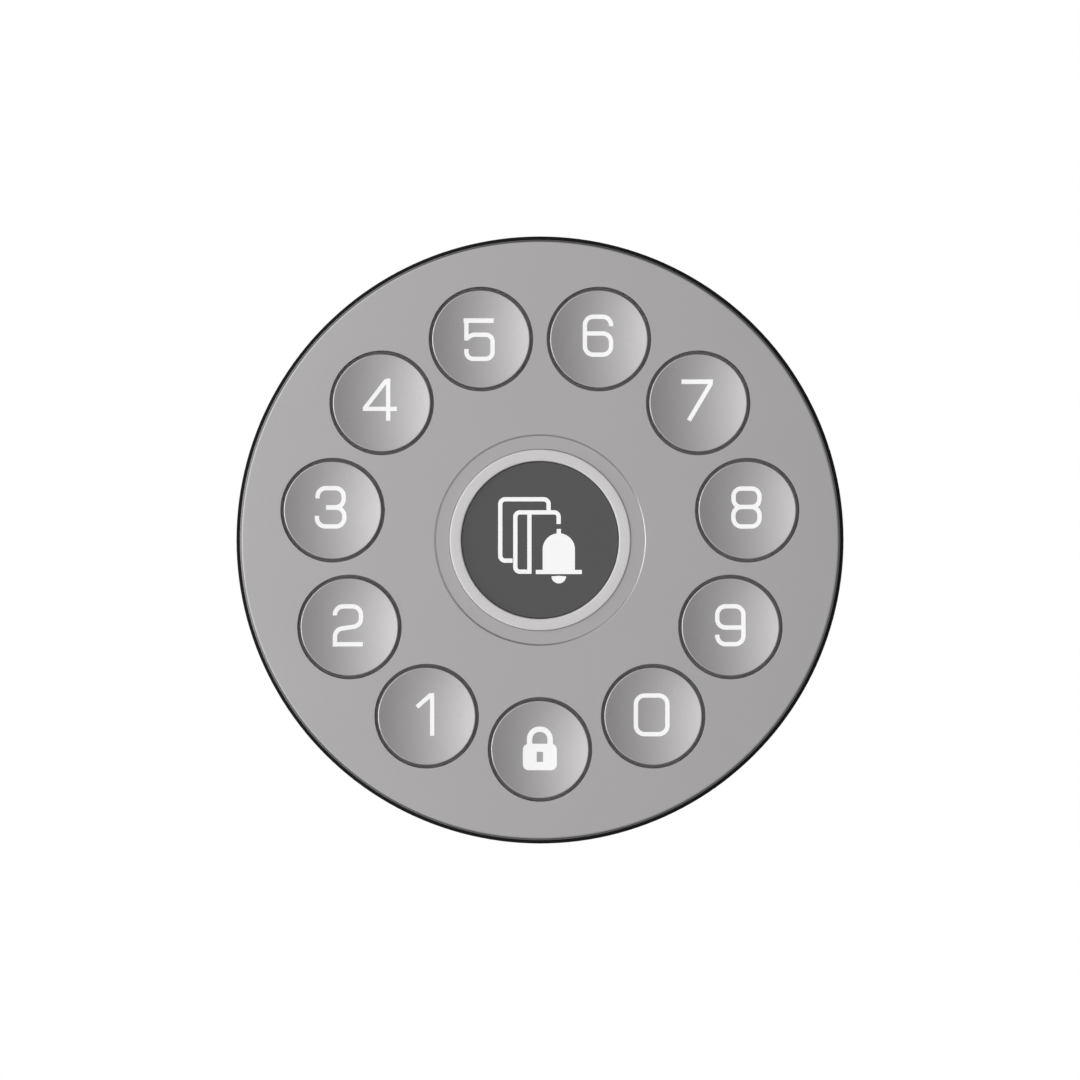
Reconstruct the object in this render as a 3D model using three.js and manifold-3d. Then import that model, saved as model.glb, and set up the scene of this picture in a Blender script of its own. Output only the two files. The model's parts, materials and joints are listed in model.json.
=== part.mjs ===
// Round keypad of a smart lock: eleven dished keys in a ring about a bell button, with a card reader
// behind the button. The unit hangs on a bayonet wall plate. Millimetres throughout.
//
// Every piece is drawn in the face frame: X to the right, Y up the wall, Z out of the wall towards the
// person, with the wall at Z = 0 and the unit's own axis on X = Y = 0. The exported group turns that
// frame so that +Z points up and the face looks along -Y.

import * as THREE from "three";
import { mergeVertices } from "three/addons/utils/BufferGeometryUtils.js";
import Module from "manifold-3d";

const wasm = await Module();
wasm.setup();

// ---------------------------------------------------------------- driving dimensions

const BODY_RADIUS = 40; // outside of the rear housing
const FACE_RADIUS = 39.6; // the face stops short, so the housing shows as a thin dark rim
const FACE_FRONT = 23.8; // the face's front surface above the wall
const FACE_THICKNESS = 2;
const KEY_COUNT = 11;
const KEY_CIRCLE = 27.5;
const KEY_RADIUS = 6.42;
const KEY_HOLE_RADIUS = 6.85;
const KEY_TRAVEL = 0.7;
const KEY_PROUD = 0.2; // rim of a key above the face
const KEY_DISH = 0.5; // depth of the dish in a key
const CENTRE_HOLE_RADIUS = 12.05;
const RELIEF_RADIUS = 13.8; // shallow step round the bell button
const RELIEF_DEPTH = 0.3;
const HOUSING_WALL = 2.1;
const BOARD_THICKNESS = 1.6;
const CELL_RADIUS = 5.25; // AAA cell
const CELL_LENGTH = 44.5;
const CELL_COUNT = 3;
const GAP = 0.3; // between pieces that touch or pass

// ---------------------------------------------------------------- levels above the wall

const FACE_BACK = FACE_FRONT - FACE_THICKNESS;
const FLANGE_TOP = FACE_BACK - GAP; // flanges that keep the keys behind the face
const FLANGE_BOTTOM = FLANGE_TOP - 0.5;
const HOUSING_FRONT = FACE_BACK - GAP;
const HOUSING_REAR = 0.8; // shadow gap between the skirt and the wall
const MAT_TOP = FLANGE_BOTTOM - KEY_TRAVEL - GAP;
const MAT_BOTTOM = MAT_TOP - 0.8;
const SHEET_TOP = MAT_BOTTOM - 0.35; // film of the dome sheet
const SHEET_BOTTOM = SHEET_TOP - 0.15;
const DOME_CROWN = SHEET_TOP + 0.4;
const NUB_BOTTOM = DOME_CROWN + KEY_TRAVEL + 0.1; // nub under a key that presses its dome
const BOARD_TOP = SHEET_BOTTOM - 0.1;
const BOARD_BOTTOM = BOARD_TOP - BOARD_THICKNESS;
const FLOOR_BOTTOM = 5.6; // rear floor of the housing
const FLOOR_TOP = 7;
const BASE_TOP = 2; // wall plate
const RIM_TOP = 5;
const COVER_BOTTOM = BASE_TOP + GAP;
const COVER_TOP = COVER_BOTTOM + 1.4;
const CELL_AXIS = COVER_TOP + 0.25 + CELL_RADIUS;
const TRAY_MOUTH = COVER_TOP + 0.2;
const TRAY_CEILING = CELL_AXIS + CELL_RADIUS + GAP;
const TRAY_FRONT = TRAY_CEILING + 0.9;

// ---------------------------------------------------------------- fixings, bayonet and battery bay

const DEGREE = Math.PI / 180;
const KEY_PITCH = 360 / KEY_COUNT;
const TOP_ANGLE = 90; // straight up lies midway between two keys, as every screw does
const HOUSING_SCREW_ANGLES = [0, -2, -4, 4, 2].map((pitches) => TOP_ANGLE + pitches * KEY_PITCH);
const HOUSING_SCREW_CIRCLE = 35.7;
const BOARD_SCREW_ANGLES = [0, -4, 4].map((pitches) => TOP_ANGLE + pitches * KEY_PITCH);
const BOARD_SCREW_CIRCLE = 17;
const HOUSING_INNER = BODY_RADIUS - HOUSING_WALL;
const SEAL_GROOVE = { inner: 38.5, outer: 39.3, depth: 0.8 };

const RIM = { inner: 32, outer: 33.8 }; // raised rim of the wall plate
const GASKET_GROOVE = { inner: 31.6, outer: 33.2, depth: 1 };
const LUG_ANGLES = [2, 122, 242];
const LUG_HALF_ANGLE = 10;
const PLATE_LUG = { inner: 33, outer: 36.4, bottom: 3.2 };
const STOP_ANGLES = [-13.2, -10.8]; // end stop beside each lug of the wall plate
const HOUSING_LUG = { inner: 34.3, outer: 38.4, bottom: 1.2, top: 2.9 };
const CLAMP_LEVEL = 3.2;
const FIXING = { radius: 1.9, headRadius: 3.7, slotLength: 7, slotX: 26, holeY: 27.5 };
const MAGNET = { x: 24.5, y: 13, radius: 2.5, height: 1.8 };

const TRAY = { halfWidth: 17.55, halfHeight: 26, wall: 1.2, corner: 1.5 };
const CELL_PITCH = 2 * CELL_RADIUS + 0.4;
const CONTACT = { thickness: 0.3, half: 3.9, tabHalf: 1.2 };
const CONTACT_FACE = TRAY.halfHeight - TRAY.wall - GAP; // outer face of every contact plate
const CONTACT_INNER = CONTACT_FACE - CONTACT.thickness;
const SPRING = { turns: 2.5, rootRadius: 3.4, tipRadius: 2.3, reach: 3.2, wire: 0.3 };

// How many sides the round shapes have.
const SIDES = { body: 40, bell: 30, keyHole: 20, key: 16, cell: 12, small: 8, socket: 6 };

// ---------------------------------------------------------------- materials

const finish = (color, roughness, metalness = 0) => () =>
  new THREE.MeshStandardMaterial({ color, roughness, metalness });

const MATERIALS = {
  satinMetal: finish(0xa9a8a9, 0.42, 0.6),
  blackPlastic: finish(0x151515, 0.55),
  lightGuide: finish(0xcbcacb, 0.4),
  lens: finish(0x555455, 0.25),
  silicone: finish(0x2b2c2e, 0.8),
  foam: finish(0x1c1c1c, 0.95),
  board: finish(0x1f4a34, 0.5),
  copper: finish(0xb87346, 0.35, 1),
  ferrite: finish(0x3a3836, 0.7),
  film: finish(0xd8d6c8, 0.4),
  steel: finish(0x9c9ea0, 0.35, 1),
  blackSteel: finish(0x2a2b2d, 0.4, 1),
  nickel: finish(0xc3bfb4, 0.3, 1),
  cellWrap: finish(0x2f3f55, 0.35),
};

// ---------------------------------------------------------------- shape helpers

/** A closed three.js geometry as a manifold solid. */
function solid(geometry) {
  const source = geometry.index ? geometry.toNonIndexed() : geometry;
  const bare = new THREE.BufferGeometry().setAttribute("position", source.getAttribute("position"));
  const merged = mergeVertices(bare, 1e-4);
  const vertProperties = merged.getAttribute("position").array;
  const triVerts = new Uint32Array(merged.index.array);
  return new wasm.Manifold(new wasm.Mesh({ numProp: 3, vertProperties, triVerts }));
}

/** A manifold solid as a three.js geometry. */
function geometryOf(manifold) {
  const { vertProperties, triVerts } = manifold.getMesh();
  return new THREE.BufferGeometry()
    .setAttribute("position", new THREE.BufferAttribute(vertProperties, 3))
    .setIndex(new THREE.BufferAttribute(triVerts, 1));
}

/** Joins and cuts geometries: (all of joined) less (all of cut). */
function carve(joined, cut = []) {
  const whole = joined.map(solid).reduce((body, piece) => body.add(piece));
  const rest = cut.map(solid).reduce((body, piece) => body.subtract(piece), whole);
  return geometryOf(rest);
}

/** A solid of revolution about Z from [radius, level] points, anticlockwise, ending on the axis or closed. */
function turned(points, sides) {
  const profile = points.map(([radius, level]) => new THREE.Vector2(radius, level));
  return new THREE.LatheGeometry(profile, sides).rotateX(Math.PI / 2);
}

/** A ring of revolution about Z: the profile is closed for the caller. */
const turnedRing = (points, sides) => turned([...points, points[0]], sides);

/** A flat ring with square edges. */
const washer = (inner, outer, bottom, top, sides = SIDES.body) =>
  turnedRing([[inner, bottom], [outer, bottom], [outer, top], [inner, top]], sides);

/** A rod along Z that may widen from its bottom radius to its top radius. */
function cone(bottomRadius, topRadius, bottom, top, [x, y] = [0, 0], sides = SIDES.small) {
  return new THREE.CylinderGeometry(topRadius, bottomRadius, top - bottom, sides)
    .rotateX(Math.PI / 2)
    .translate(x, y, (bottom + top) / 2);
}

/** A round rod along Z. */
const rod = (radius, bottom, top, centre, sides) => cone(radius, radius, bottom, top, centre, sides);

/** A round rod along Y, from one y to another, at the clamp screw's level. */
function radialRod(radius, fromY, toY, sides = SIDES.small) {
  return new THREE.CylinderGeometry(radius, radius, toY - fromY, sides)
    .translate(0, (fromY + toY) / 2, CLAMP_LEVEL);
}

/** A block between two corners. */
function block([x0, y0, z0], [x1, y1, z1]) {
  return new THREE.BoxGeometry(x1 - x0, y1 - y0, z1 - z0)
    .translate((x0 + x1) / 2, (y0 + y1) / 2, (z0 + z1) / 2);
}

/** A flat outline raised from one level to another. */
function raised(shape, bottom, top, curveSegments) {
  const settings = { depth: top - bottom, bevelEnabled: false, curveSegments };
  return new THREE.ExtrudeGeometry(shape, settings).translate(0, 0, bottom);
}

/** A sector of a ring between two angles in degrees. */
function sector(inner, outer, fromAngle, toAngle, bottom, top) {
  const shape = new THREE.Shape();
  shape.absarc(0, 0, outer, fromAngle * DEGREE, toAngle * DEGREE, false);
  shape.absarc(0, 0, inner, toAngle * DEGREE, fromAngle * DEGREE, true);
  return raised(shape, bottom, top, 3);
}

/** A slab with rounded corners, centred on the axis. */
function roundedSlab(halfWidth, halfHeight, corner, bottom, top) {
  const shape = new THREE.Shape();
  const corners = [[1, 1], [-1, 1], [-1, -1], [1, -1]];
  corners.forEach(([right, up], quarter) => {
    const start = quarter * Math.PI / 2;
    const x = right * (halfWidth - corner);
    const y = up * (halfHeight - corner);
    shape.absarc(x, y, corner, start, start + Math.PI / 2, false);
  });
  return raised(shape, bottom, top, 3);
}

/** A slot along Y with round ends. */
function slotAlongY(radius, length, bottom, top, x) {
  const half = length / 2 - radius;
  const shape = new THREE.Shape();
  shape.absarc(x, half, radius, 0, Math.PI, false);
  shape.absarc(x, -half, radius, Math.PI, 2 * Math.PI, false);
  return raised(shape, bottom, top, 6);
}

/** A point on a circle about the axis, at an angle in degrees. */
const onCircle = (radius, angle) => [radius * Math.cos(angle * DEGREE), radius * Math.sin(angle * DEGREE)];

const housingScrewPlaces = HOUSING_SCREW_ANGLES.map((angle) => onCircle(HOUSING_SCREW_CIRCLE, angle));
const boardScrewPlaces = BOARD_SCREW_ANGLES.map((angle) => onCircle(BOARD_SCREW_CIRCLE, angle));

/** The keys' centres: the first stands at the bottom, and the rest follow it clockwise. */
const keyPlaces = Array.from({ length: KEY_COUNT }, (_, index) =>
  onCircle(KEY_CIRCLE, -TOP_ANGLE - index * KEY_PITCH));

/** A rod of one size at each of several places, for bosses or for the holes that clear them. */
const rodsAt = (places, radius, bottom, top, sides) =>
  places.map((centre) => rod(radius, bottom, top, centre, sides));

// ---------------------------------------------------------------- wall plate

/** The plate that is screwed to the wall: a disc and a raised rim with three bayonet lugs and end stops. */
function wallPlate() {
  const magnetPlace = [MAGNET.x, MAGNET.y];
  const root = BASE_TOP / 2; // what stands on the disc starts inside it
  const { inner, outer, bottom } = PLATE_LUG;
  const lugs = LUG_ANGLES.map((angle) =>
    sector(inner, outer, angle + STOP_ANGLES[0], angle + LUG_HALF_ANGLE, bottom, RIM_TOP));
  const stops = LUG_ANGLES.map((angle) =>
    sector(inner, outer, angle + STOP_ANGLES[0], angle + STOP_ANGLES[1], root, bottom + 0.5));
  const slots = [-FIXING.slotX, FIXING.slotX].flatMap((x) => [
    slotAlongY(FIXING.radius, FIXING.slotLength, -1, BASE_TOP + 1, x),
    slotAlongY(FIXING.headRadius, FIXING.slotLength + 2, BASE_TOP - 0.9, BASE_TOP + 1, x),
  ]);
  const holes = [-FIXING.holeY, FIXING.holeY].flatMap((y) => [
    rod(FIXING.radius, -1, BASE_TOP + 1, [0, y], SIDES.cell),
    cone(FIXING.radius, FIXING.headRadius, GAP, BASE_TOP + 0.1, [0, y], SIDES.cell),
  ]);
  return carve(
    [
      rod(RIM.outer, 0, BASE_TOP, [0, 0], SIDES.body),
      washer(RIM.inner, RIM.outer, root, RIM_TOP),
      rod(MAGNET.radius + 1.3, root, BASE_TOP + 2.2, magnetPlace, SIDES.cell),
      ...lugs,
      ...stops,
    ],
    [
      ...slots,
      ...holes,
      washer(GASKET_GROOVE.inner, GASKET_GROOVE.outer, -1, GASKET_GROOVE.depth),
      rod(MAGNET.radius + 0.15, BASE_TOP, BASE_TOP + 3, magnetPlace, SIDES.cell),
    ],
  );
}

const wallGasket = () =>
  washer(GASKET_GROOVE.inner + 0.2, GASKET_GROOVE.outer - 0.2, 0, GASKET_GROOVE.depth - 0.2);

const tamperMagnet = () =>
  rod(MAGNET.radius, BASE_TOP + 0.2, BASE_TOP + 0.2 + MAGNET.height, [MAGNET.x, MAGNET.y], SIDES.cell);

// ---------------------------------------------------------------- housing and battery bay

/** The cup behind the face, with the bayonet lugs inside its skirt and five screw posts. */
function rearHousing() {
  const grooveFloor = HOUSING_FRONT - SEAL_GROOVE.depth;
  const edge = 0.3;
  const shell = turned([
    [0, FLOOR_BOTTOM],
    [HOUSING_INNER, FLOOR_BOTTOM],
    [HOUSING_INNER, HOUSING_REAR],
    [BODY_RADIUS - 0.8, HOUSING_REAR],
    [BODY_RADIUS, HOUSING_REAR + 0.8],
    [BODY_RADIUS, HOUSING_FRONT - edge],
    [BODY_RADIUS - edge, HOUSING_FRONT],
    [SEAL_GROOVE.outer, HOUSING_FRONT],
    [SEAL_GROOVE.outer, grooveFloor],
    [SEAL_GROOVE.inner, grooveFloor],
    [SEAL_GROOVE.inner, HOUSING_FRONT],
    [HOUSING_INNER, HOUSING_FRONT],
    [HOUSING_INNER, FLOOR_TOP],
    [0, FLOOR_TOP],
  ], SIDES.body);
  const { inner, outer, bottom, top } = HOUSING_LUG;
  const lugs = LUG_ANGLES.map((angle) =>
    sector(inner, outer, angle - LUG_HALF_ANGLE, angle + LUG_HALF_ANGLE, bottom, top));
  const root = FLOOR_BOTTOM + 0.4;
  const posts = rodsAt(housingScrewPlaces, 3, root, BOARD_BOTTOM - GAP, SIDES.small);
  const clampBoss = block([-2.8, 1.4 - BODY_RADIUS, bottom], [2.8, -34.9, root]);
  const windowX = TRAY.halfWidth + GAP;
  const windowY = TRAY.halfHeight + GAP;
  return carve(
    [shell, ...lugs, ...posts, clampBoss],
    [
      ...rodsAt(housingScrewPlaces, 2.2, FLOOR_BOTTOM - 1, FLOOR_TOP + 0.2),
      ...rodsAt(housingScrewPlaces, 1.3, FLOOR_BOTTOM, BOARD_BOTTOM + 1),
      radialRod(1.7, -BODY_RADIUS - 2, -33),
      roundedSlab(windowX, windowY, TRAY.corner, FLOOR_BOTTOM - 1, FLOOR_TOP + 1),
    ],
  );
}

/** The silicone ring in the housing's front groove, which the face closes on. */
function faceSeal() {
  const clearance = 0.15;
  const { inner, outer, depth } = SEAL_GROOVE;
  const bottom = HOUSING_FRONT - depth + clearance;
  return washer(inner + clearance, outer - clearance, bottom, HOUSING_FRONT + clearance);
}

/** The tray that holds the cells, open to the wall plate and slotted for the two terminals. */
function batteryTray() {
  const { halfWidth, halfHeight, wall, corner } = TRAY;
  const reach = 2.2;
  const flange = roundedSlab(halfWidth + reach, halfHeight + reach, corner + reach,
    FLOOR_TOP + GAP, FLOOR_TOP + 1.5);
  const inside = block(
    [wall - halfWidth, wall - halfHeight, 0],
    [halfWidth - wall, halfHeight - wall, TRAY_CEILING],
  );
  const tabSlots = [-1, 1].map((end) => terminalTab(end, 0.35, TRAY_CEILING - 1, TRAY_FRONT + 1));
  return carve(
    [roundedSlab(halfWidth, halfHeight, corner, TRAY_MOUTH, TRAY_FRONT), flange],
    [inside, ...tabSlots],
  );
}

/** The lid of the battery tray, with a rim that plugs into its mouth and a notch for a fingernail. */
function batteryCover() {
  const plugX = TRAY.halfWidth - TRAY.wall - GAP;
  const plugY = TRAY.halfHeight - TRAY.wall - 0.35;
  const insideX = plugX - 1;
  const insideY = plugY - 1;
  const lid = roundedSlab(TRAY.halfWidth - 0.05, TRAY.halfHeight - 0.1, 3, COVER_BOTTOM, COVER_TOP);
  return carve(
    [lid, block([-plugX, -plugY, COVER_TOP - GAP], [plugX, plugY, COVER_TOP + 0.8])],
    [
      block([-insideX, -insideY, COVER_TOP], [insideX, insideY, COVER_TOP + 2]),
      rod(4.5, 0, COVER_TOP - 0.5, [0, -TRAY.halfHeight], SIDES.cell),
    ],
  );
}

/** An AAA cell standing along Y with its button end up, centred on its own length. */
function batteryCell() {
  const half = CELL_LENGTH / 2;
  const shoulder = half - 1.2;
  const edge = 0.4;
  const profile = [
    [0, -half],
    [CELL_RADIUS - edge, -half],
    [CELL_RADIUS, edge - half],
    [CELL_RADIUS, shoulder - edge],
    [CELL_RADIUS - edge, shoulder],
    [1.9, shoulder],
    [1.9, half],
    [0, half],
  ];
  return new THREE.LatheGeometry(profile.map(([radius, y]) => new THREE.Vector2(radius, y)), SIDES.cell);
}

/** A strip beside an end wall of the tray, as thick as the contacts; grow widens it for a slot. */
function strip(end, fromX, toX, bottom, top, grow = 0) {
  const ys = [end * (CONTACT_FACE + grow), end * (CONTACT_INNER - grow)];
  return block([fromX - grow, Math.min(...ys), bottom], [toX + grow, Math.max(...ys), top]);
}

/** Terminal tab that runs from a contact plate through the tray's floor to the board. */
function terminalTab(end, grow, bottom, top) {
  const x = -end * CELL_PITCH;
  return strip(end, x - CONTACT.tabHalf, x + CONTACT.tabHalf, bottom, top, grow);
}

/** Contact plate against an end wall of the tray, from one cell's x to another's. */
function contactPlate(end, fromX, toX) {
  const { half } = CONTACT;
  return strip(end, fromX - half, toX + half, CELL_AXIS - half, CELL_AXIS + half);
}

/** The winding of a conical coil that stands on a contact plate. */
class Coil extends THREE.Curve {
  constructor(end, x) {
    super();
    this.end = end;
    this.x = x;
  }

  getPoint(t, target = new THREE.Vector3()) {
    const angle = 2 * Math.PI * SPRING.turns * t;
    const radius = SPRING.rootRadius + (SPRING.tipRadius - SPRING.rootRadius) * t;
    const x = this.x + radius * Math.cos(angle);
    const y = this.end * (CONTACT_INNER - SPRING.reach * t);
    return target.set(x, y, CELL_AXIS + radius * Math.sin(angle));
  }
}

/** Conical coil on a contact plate, for the flat end of a cell. */
function contactSpring(end, x) {
  const wire = new THREE.Shape().absarc(0, 0, SPRING.wire, 0, 2 * Math.PI, false);
  const settings = { steps: 22, curveSegments: 2, bevelEnabled: false, extrudePath: new Coil(end, x) };
  return new THREE.ExtrudeGeometry(wire, settings);
}

/** Contact with a tab to the board: the upper one takes a button end, and the lower one has a spring. */
function terminalContact(end) {
  const x = -end * CELL_PITCH;
  const tab = terminalTab(end, 0, CELL_AXIS, BOARD_BOTTOM - 0.2);
  const spring = end < 0 ? [contactSpring(end, x)] : [];
  return carve([contactPlate(end, x, x), tab, ...spring]);
}

/** Contact that joins two cells, with the spring at one of them. */
const bridgeContact = (end, fromX, toX, springX) =>
  carve([contactPlate(end, fromX, toX), contactSpring(end, springX)]);

// ---------------------------------------------------------------- face

/** The face: eleven key holes, the bell button's hole in its shallow relief, and screw bosses behind. */
function facePlate() {
  const edge = 0.4;
  const reliefFloor = FACE_FRONT - RELIEF_DEPTH;
  const disc = turnedRing([
    [CENTRE_HOLE_RADIUS, FACE_BACK],
    [FACE_RADIUS, FACE_BACK],
    [FACE_RADIUS, FACE_FRONT - edge],
    [FACE_RADIUS - edge, FACE_FRONT],
    [RELIEF_RADIUS + 0.15, FACE_FRONT],
    [RELIEF_RADIUS - 0.05, reliefFloor],
    [CENTRE_HOLE_RADIUS, reliefFloor],
  ], SIDES.body);
  const root = FACE_BACK + 0.2; // spigot and bosses run a little way into the face
  const spigot = washer(36.9, HOUSING_INNER - 0.4, FACE_BACK - 1.2, root);
  return carve(
    [
      disc,
      spigot,
      ...rodsAt(housingScrewPlaces, 1.9, BOARD_BOTTOM, root),
      ...rodsAt(boardScrewPlaces, 2.1, BOARD_TOP + GAP, root),
    ],
    [
      ...rodsAt(keyPlaces, KEY_HOLE_RADIUS, FACE_BACK - 5, FACE_FRONT + 1, SIDES.keyHole),
      ...rodsAt(housingScrewPlaces, 1.3, BOARD_BOTTOM - 1, FACE_BACK - 0.5),
      ...rodsAt(boardScrewPlaces, 1.2, BOARD_TOP - 1, FACE_BACK - 0.2),
    ],
  );
}

// ---------------------------------------------------------------- keys

/** A key cap about its own axis: retaining flange, straight side, narrow rim and dished top. */
function keyCap() {
  const flangeRadius = 7.3;
  const rimTop = FACE_FRONT + KEY_PROUD;
  return turned([
    [0, FLANGE_BOTTOM],
    [flangeRadius, FLANGE_BOTTOM],
    [flangeRadius, FLANGE_TOP],
    [KEY_RADIUS, FLANGE_TOP],
    [KEY_RADIUS, FACE_FRONT],
    [KEY_RADIUS - 0.3, rimTop],
    [KEY_RADIUS / 2, rimTop - 0.75 * KEY_DISH],
    [0, rimTop - KEY_DISH],
  ], SIDES.key);
}

/** The silicone pad and nub bonded under a key cap. */
function keyPlunger() {
  const padTop = FLANGE_BOTTOM - 0.2;
  const padBottom = padTop - 0.45;
  return turned([
    [0, NUB_BOTTOM],
    [1.5, NUB_BOTTOM],
    [1.5, padBottom],
    [3.4, padBottom],
    [3.4, padTop],
    [0, padTop],
  ], SIDES.small);
}

// ---------------------------------------------------------------- bell button

/** The milky light guide: a bead round the lens, a ledge under the lens and a flange behind the face. */
function lightRing() {
  const ledge = FLANGE_TOP + 0.6;
  const bead = FACE_FRONT + GAP;
  return turnedRing([
    [9.6, FLANGE_BOTTOM],
    [13, FLANGE_BOTTOM],
    [13, FLANGE_TOP],
    [11.85, FLANGE_TOP],
    [11.85, FACE_FRONT - 0.05],
    [11.5, bead],
    [10.8, bead],
    [10.45, FACE_FRONT],
    [10.45, ledge],
    [9.6, ledge],
  ], SIDES.bell);
}

const centreLens = () => rod(10.3, FLANGE_TOP + 0.8, FACE_FRONT - 0.1, [0, 0], SIDES.bell);

/** The silicone disc that backs the lens, with a stub that presses the bell switch. */
function bellPlunger() {
  const stubBottom = FLANGE_BOTTOM - 0.25;
  const discBottom = FLANGE_BOTTOM + GAP;
  const discTop = FLANGE_TOP + 0.55;
  return turned([
    [0, stubBottom],
    [2, stubBottom],
    [2, discBottom],
    [9.2, discBottom],
    [9.2, discTop],
    [0, discTop],
  ], SIDES.cell);
}

// ---------------------------------------------------------------- electronics

/** The silicone mat that seals the key holes: openings for the plungers and clearance for the bosses. */
function keyMat() {
  const bottom = MAT_BOTTOM - 1;
  const top = MAT_TOP + 1;
  return carve([washer(13.9, 36.5, MAT_BOTTOM, MAT_TOP)], [
    ...rodsAt(keyPlaces, 3.9, bottom, top),
    ...rodsAt(housingScrewPlaces, 2.5, bottom, top),
    ...rodsAt(boardScrewPlaces, 2.6, bottom, top),
  ]);
}

/** The film with one snap dome under every key. */
function domeSheet() {
  const dome = (x, y) => turned([
    [0, SHEET_BOTTOM + 0.05],
    [3, SHEET_BOTTOM + 0.05],
    [3, SHEET_TOP],
    [1.8, DOME_CROWN - 0.1],
    [0, DOME_CROWN],
  ], SIDES.small).translate(x, y, 0);
  return carve(
    [washer(13.9, 33.2, SHEET_BOTTOM, SHEET_TOP), ...keyPlaces.map(([x, y]) => dome(x, y))],
    rodsAt(boardScrewPlaces, 2.6, SHEET_BOTTOM - 1, DOME_CROWN + 1),
  );
}

const mainBoard = () => carve(
  [rod(33.4, BOARD_BOTTOM, BOARD_TOP, [0, 0], SIDES.body)],
  rodsAt(boardScrewPlaces, 1.2, BOARD_BOTTOM - 1, BOARD_TOP + 1),
);

const ferriteSheet = () => washer(4.6, 11.7, BOARD_TOP + 0.1, BOARD_TOP + 0.25, SIDES.keyHole);
const cardAntenna = () => washer(6.2, 11.4, BOARD_TOP + 0.35, BOARD_TOP + 1, SIDES.keyHole);

/** The flexible ring under the light guide, with six LEDs on it. */
function ledRing() {
  const ledCount = 6;
  const led = (index) => block([12.3, -0.8, BOARD_TOP + 0.2], [13.4, 0.8, BOARD_TOP + 1.2])
    .rotateZ(2 * Math.PI * index / ledCount);
  const leds = Array.from({ length: ledCount }, (_, index) => led(index));
  return carve([washer(12.1, 13.6, BOARD_TOP + 0.1, BOARD_TOP + 0.4, SIDES.bell), ...leds]);
}

/** The tact switch under the bell button. */
const bellSwitch = () => carve([
  block([-3, -3, BOARD_TOP + 0.1], [3, 3, BOARD_TOP + 0.9]),
  rod(1.6, BOARD_TOP + 0.5, BOARD_TOP + 1.4),
]);

/** The sounder under the board, with its sound hole facing the wall. */
function buzzer() {
  const rear = BOARD_BOTTOM - 3.7;
  const top = BOARD_BOTTOM - GAP;
  return turned([
    [0, rear + 0.7],
    [1, rear + 0.7],
    [1, rear],
    [4.2, rear],
    [4.5, rear + 0.3],
    [4.5, top],
    [0, top],
  ], SIDES.cell);
}

/** A flat block under the board, about its own centre. */
function boardBlock(width, height, depth) {
  const top = BOARD_BOTTOM - GAP;
  return block([-width / 2, -height / 2, top - depth], [width / 2, height / 2, top]);
}

// ---------------------------------------------------------------- screws

/** A pan head screw pointing along Z about its own axis, with a hexagonal socket in its head. */
function panScrew(headRadius, headBottom, headHeight, shankRadius, tip) {
  const edge = 0.3;
  const headTop = headBottom + headHeight;
  const screw = turned([
    [0, headBottom],
    [headRadius - edge, headBottom],
    [headRadius, headBottom + edge],
    [headRadius, headTop],
    [shankRadius, headTop],
    [shankRadius, tip - 2 * edge],
    [0, tip],
  ], SIDES.small);
  const socketFloor = headBottom + headHeight / 2;
  return carve([screw], [rod(headRadius / 2, headBottom - 1, socketFloor, [0, 0], SIDES.socket)]);
}

/** The radial screw in the bottom of the skirt that clamps the unit on the rim of the wall plate. */
function clampScrew() {
  const head = 1.1 - BODY_RADIUS;
  const socket = radialRod(0.85, head - 1, head + 1.5, SIDES.socket);
  return carve([radialRod(1.45, head, -RIM.outer - GAP)], [socket]);
}

// ---------------------------------------------------------------- assembly

const lock = new THREE.Group();

/** Adds a named piece to the lock, at a place in the face frame. */
function place(name, geometry, material, position = [0, 0, 0]) {
  const mesh = new THREE.Mesh(geometry, material());
  mesh.name = name;
  mesh.position.set(...position);
  lock.add(mesh);
  return mesh;
}

place("wall_plate", wallPlate(), MATERIALS.blackPlastic);
place("wall_gasket", wallGasket(), MATERIALS.foam);
place("tamper_magnet", tamperMagnet(), MATERIALS.nickel);

place("rear_housing", rearHousing(), MATERIALS.blackPlastic);
place("face_seal", faceSeal(), MATERIALS.silicone);
place("face_plate", facePlate(), MATERIALS.satinMetal);
place("battery_tray", batteryTray(), MATERIALS.blackPlastic);
place("battery_cover", batteryCover(), MATERIALS.blackPlastic);

for (let index = 0; index < CELL_COUNT; index++) {
  const up = index % 2 === 0 ? 1 : -1; // the middle cell stands on its head
  const x = (index - 1) * CELL_PITCH;
  const y = up * (CONTACT_INNER - GAP / 2 - CELL_LENGTH / 2);
  const cell = place(`battery_cell_${index + 1}`, batteryCell(), MATERIALS.cellWrap, [x, y, CELL_AXIS]);
  cell.rotation.z = up > 0 ? 0 : Math.PI;
}
place("positive_contact", terminalContact(1), MATERIALS.nickel);
place("negative_contact", terminalContact(-1), MATERIALS.nickel);
place("upper_bridge_contact", bridgeContact(1, 0, CELL_PITCH, 0), MATERIALS.nickel);
place("lower_bridge_contact", bridgeContact(-1, -CELL_PITCH, 0, -CELL_PITCH), MATERIALS.nickel);

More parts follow.
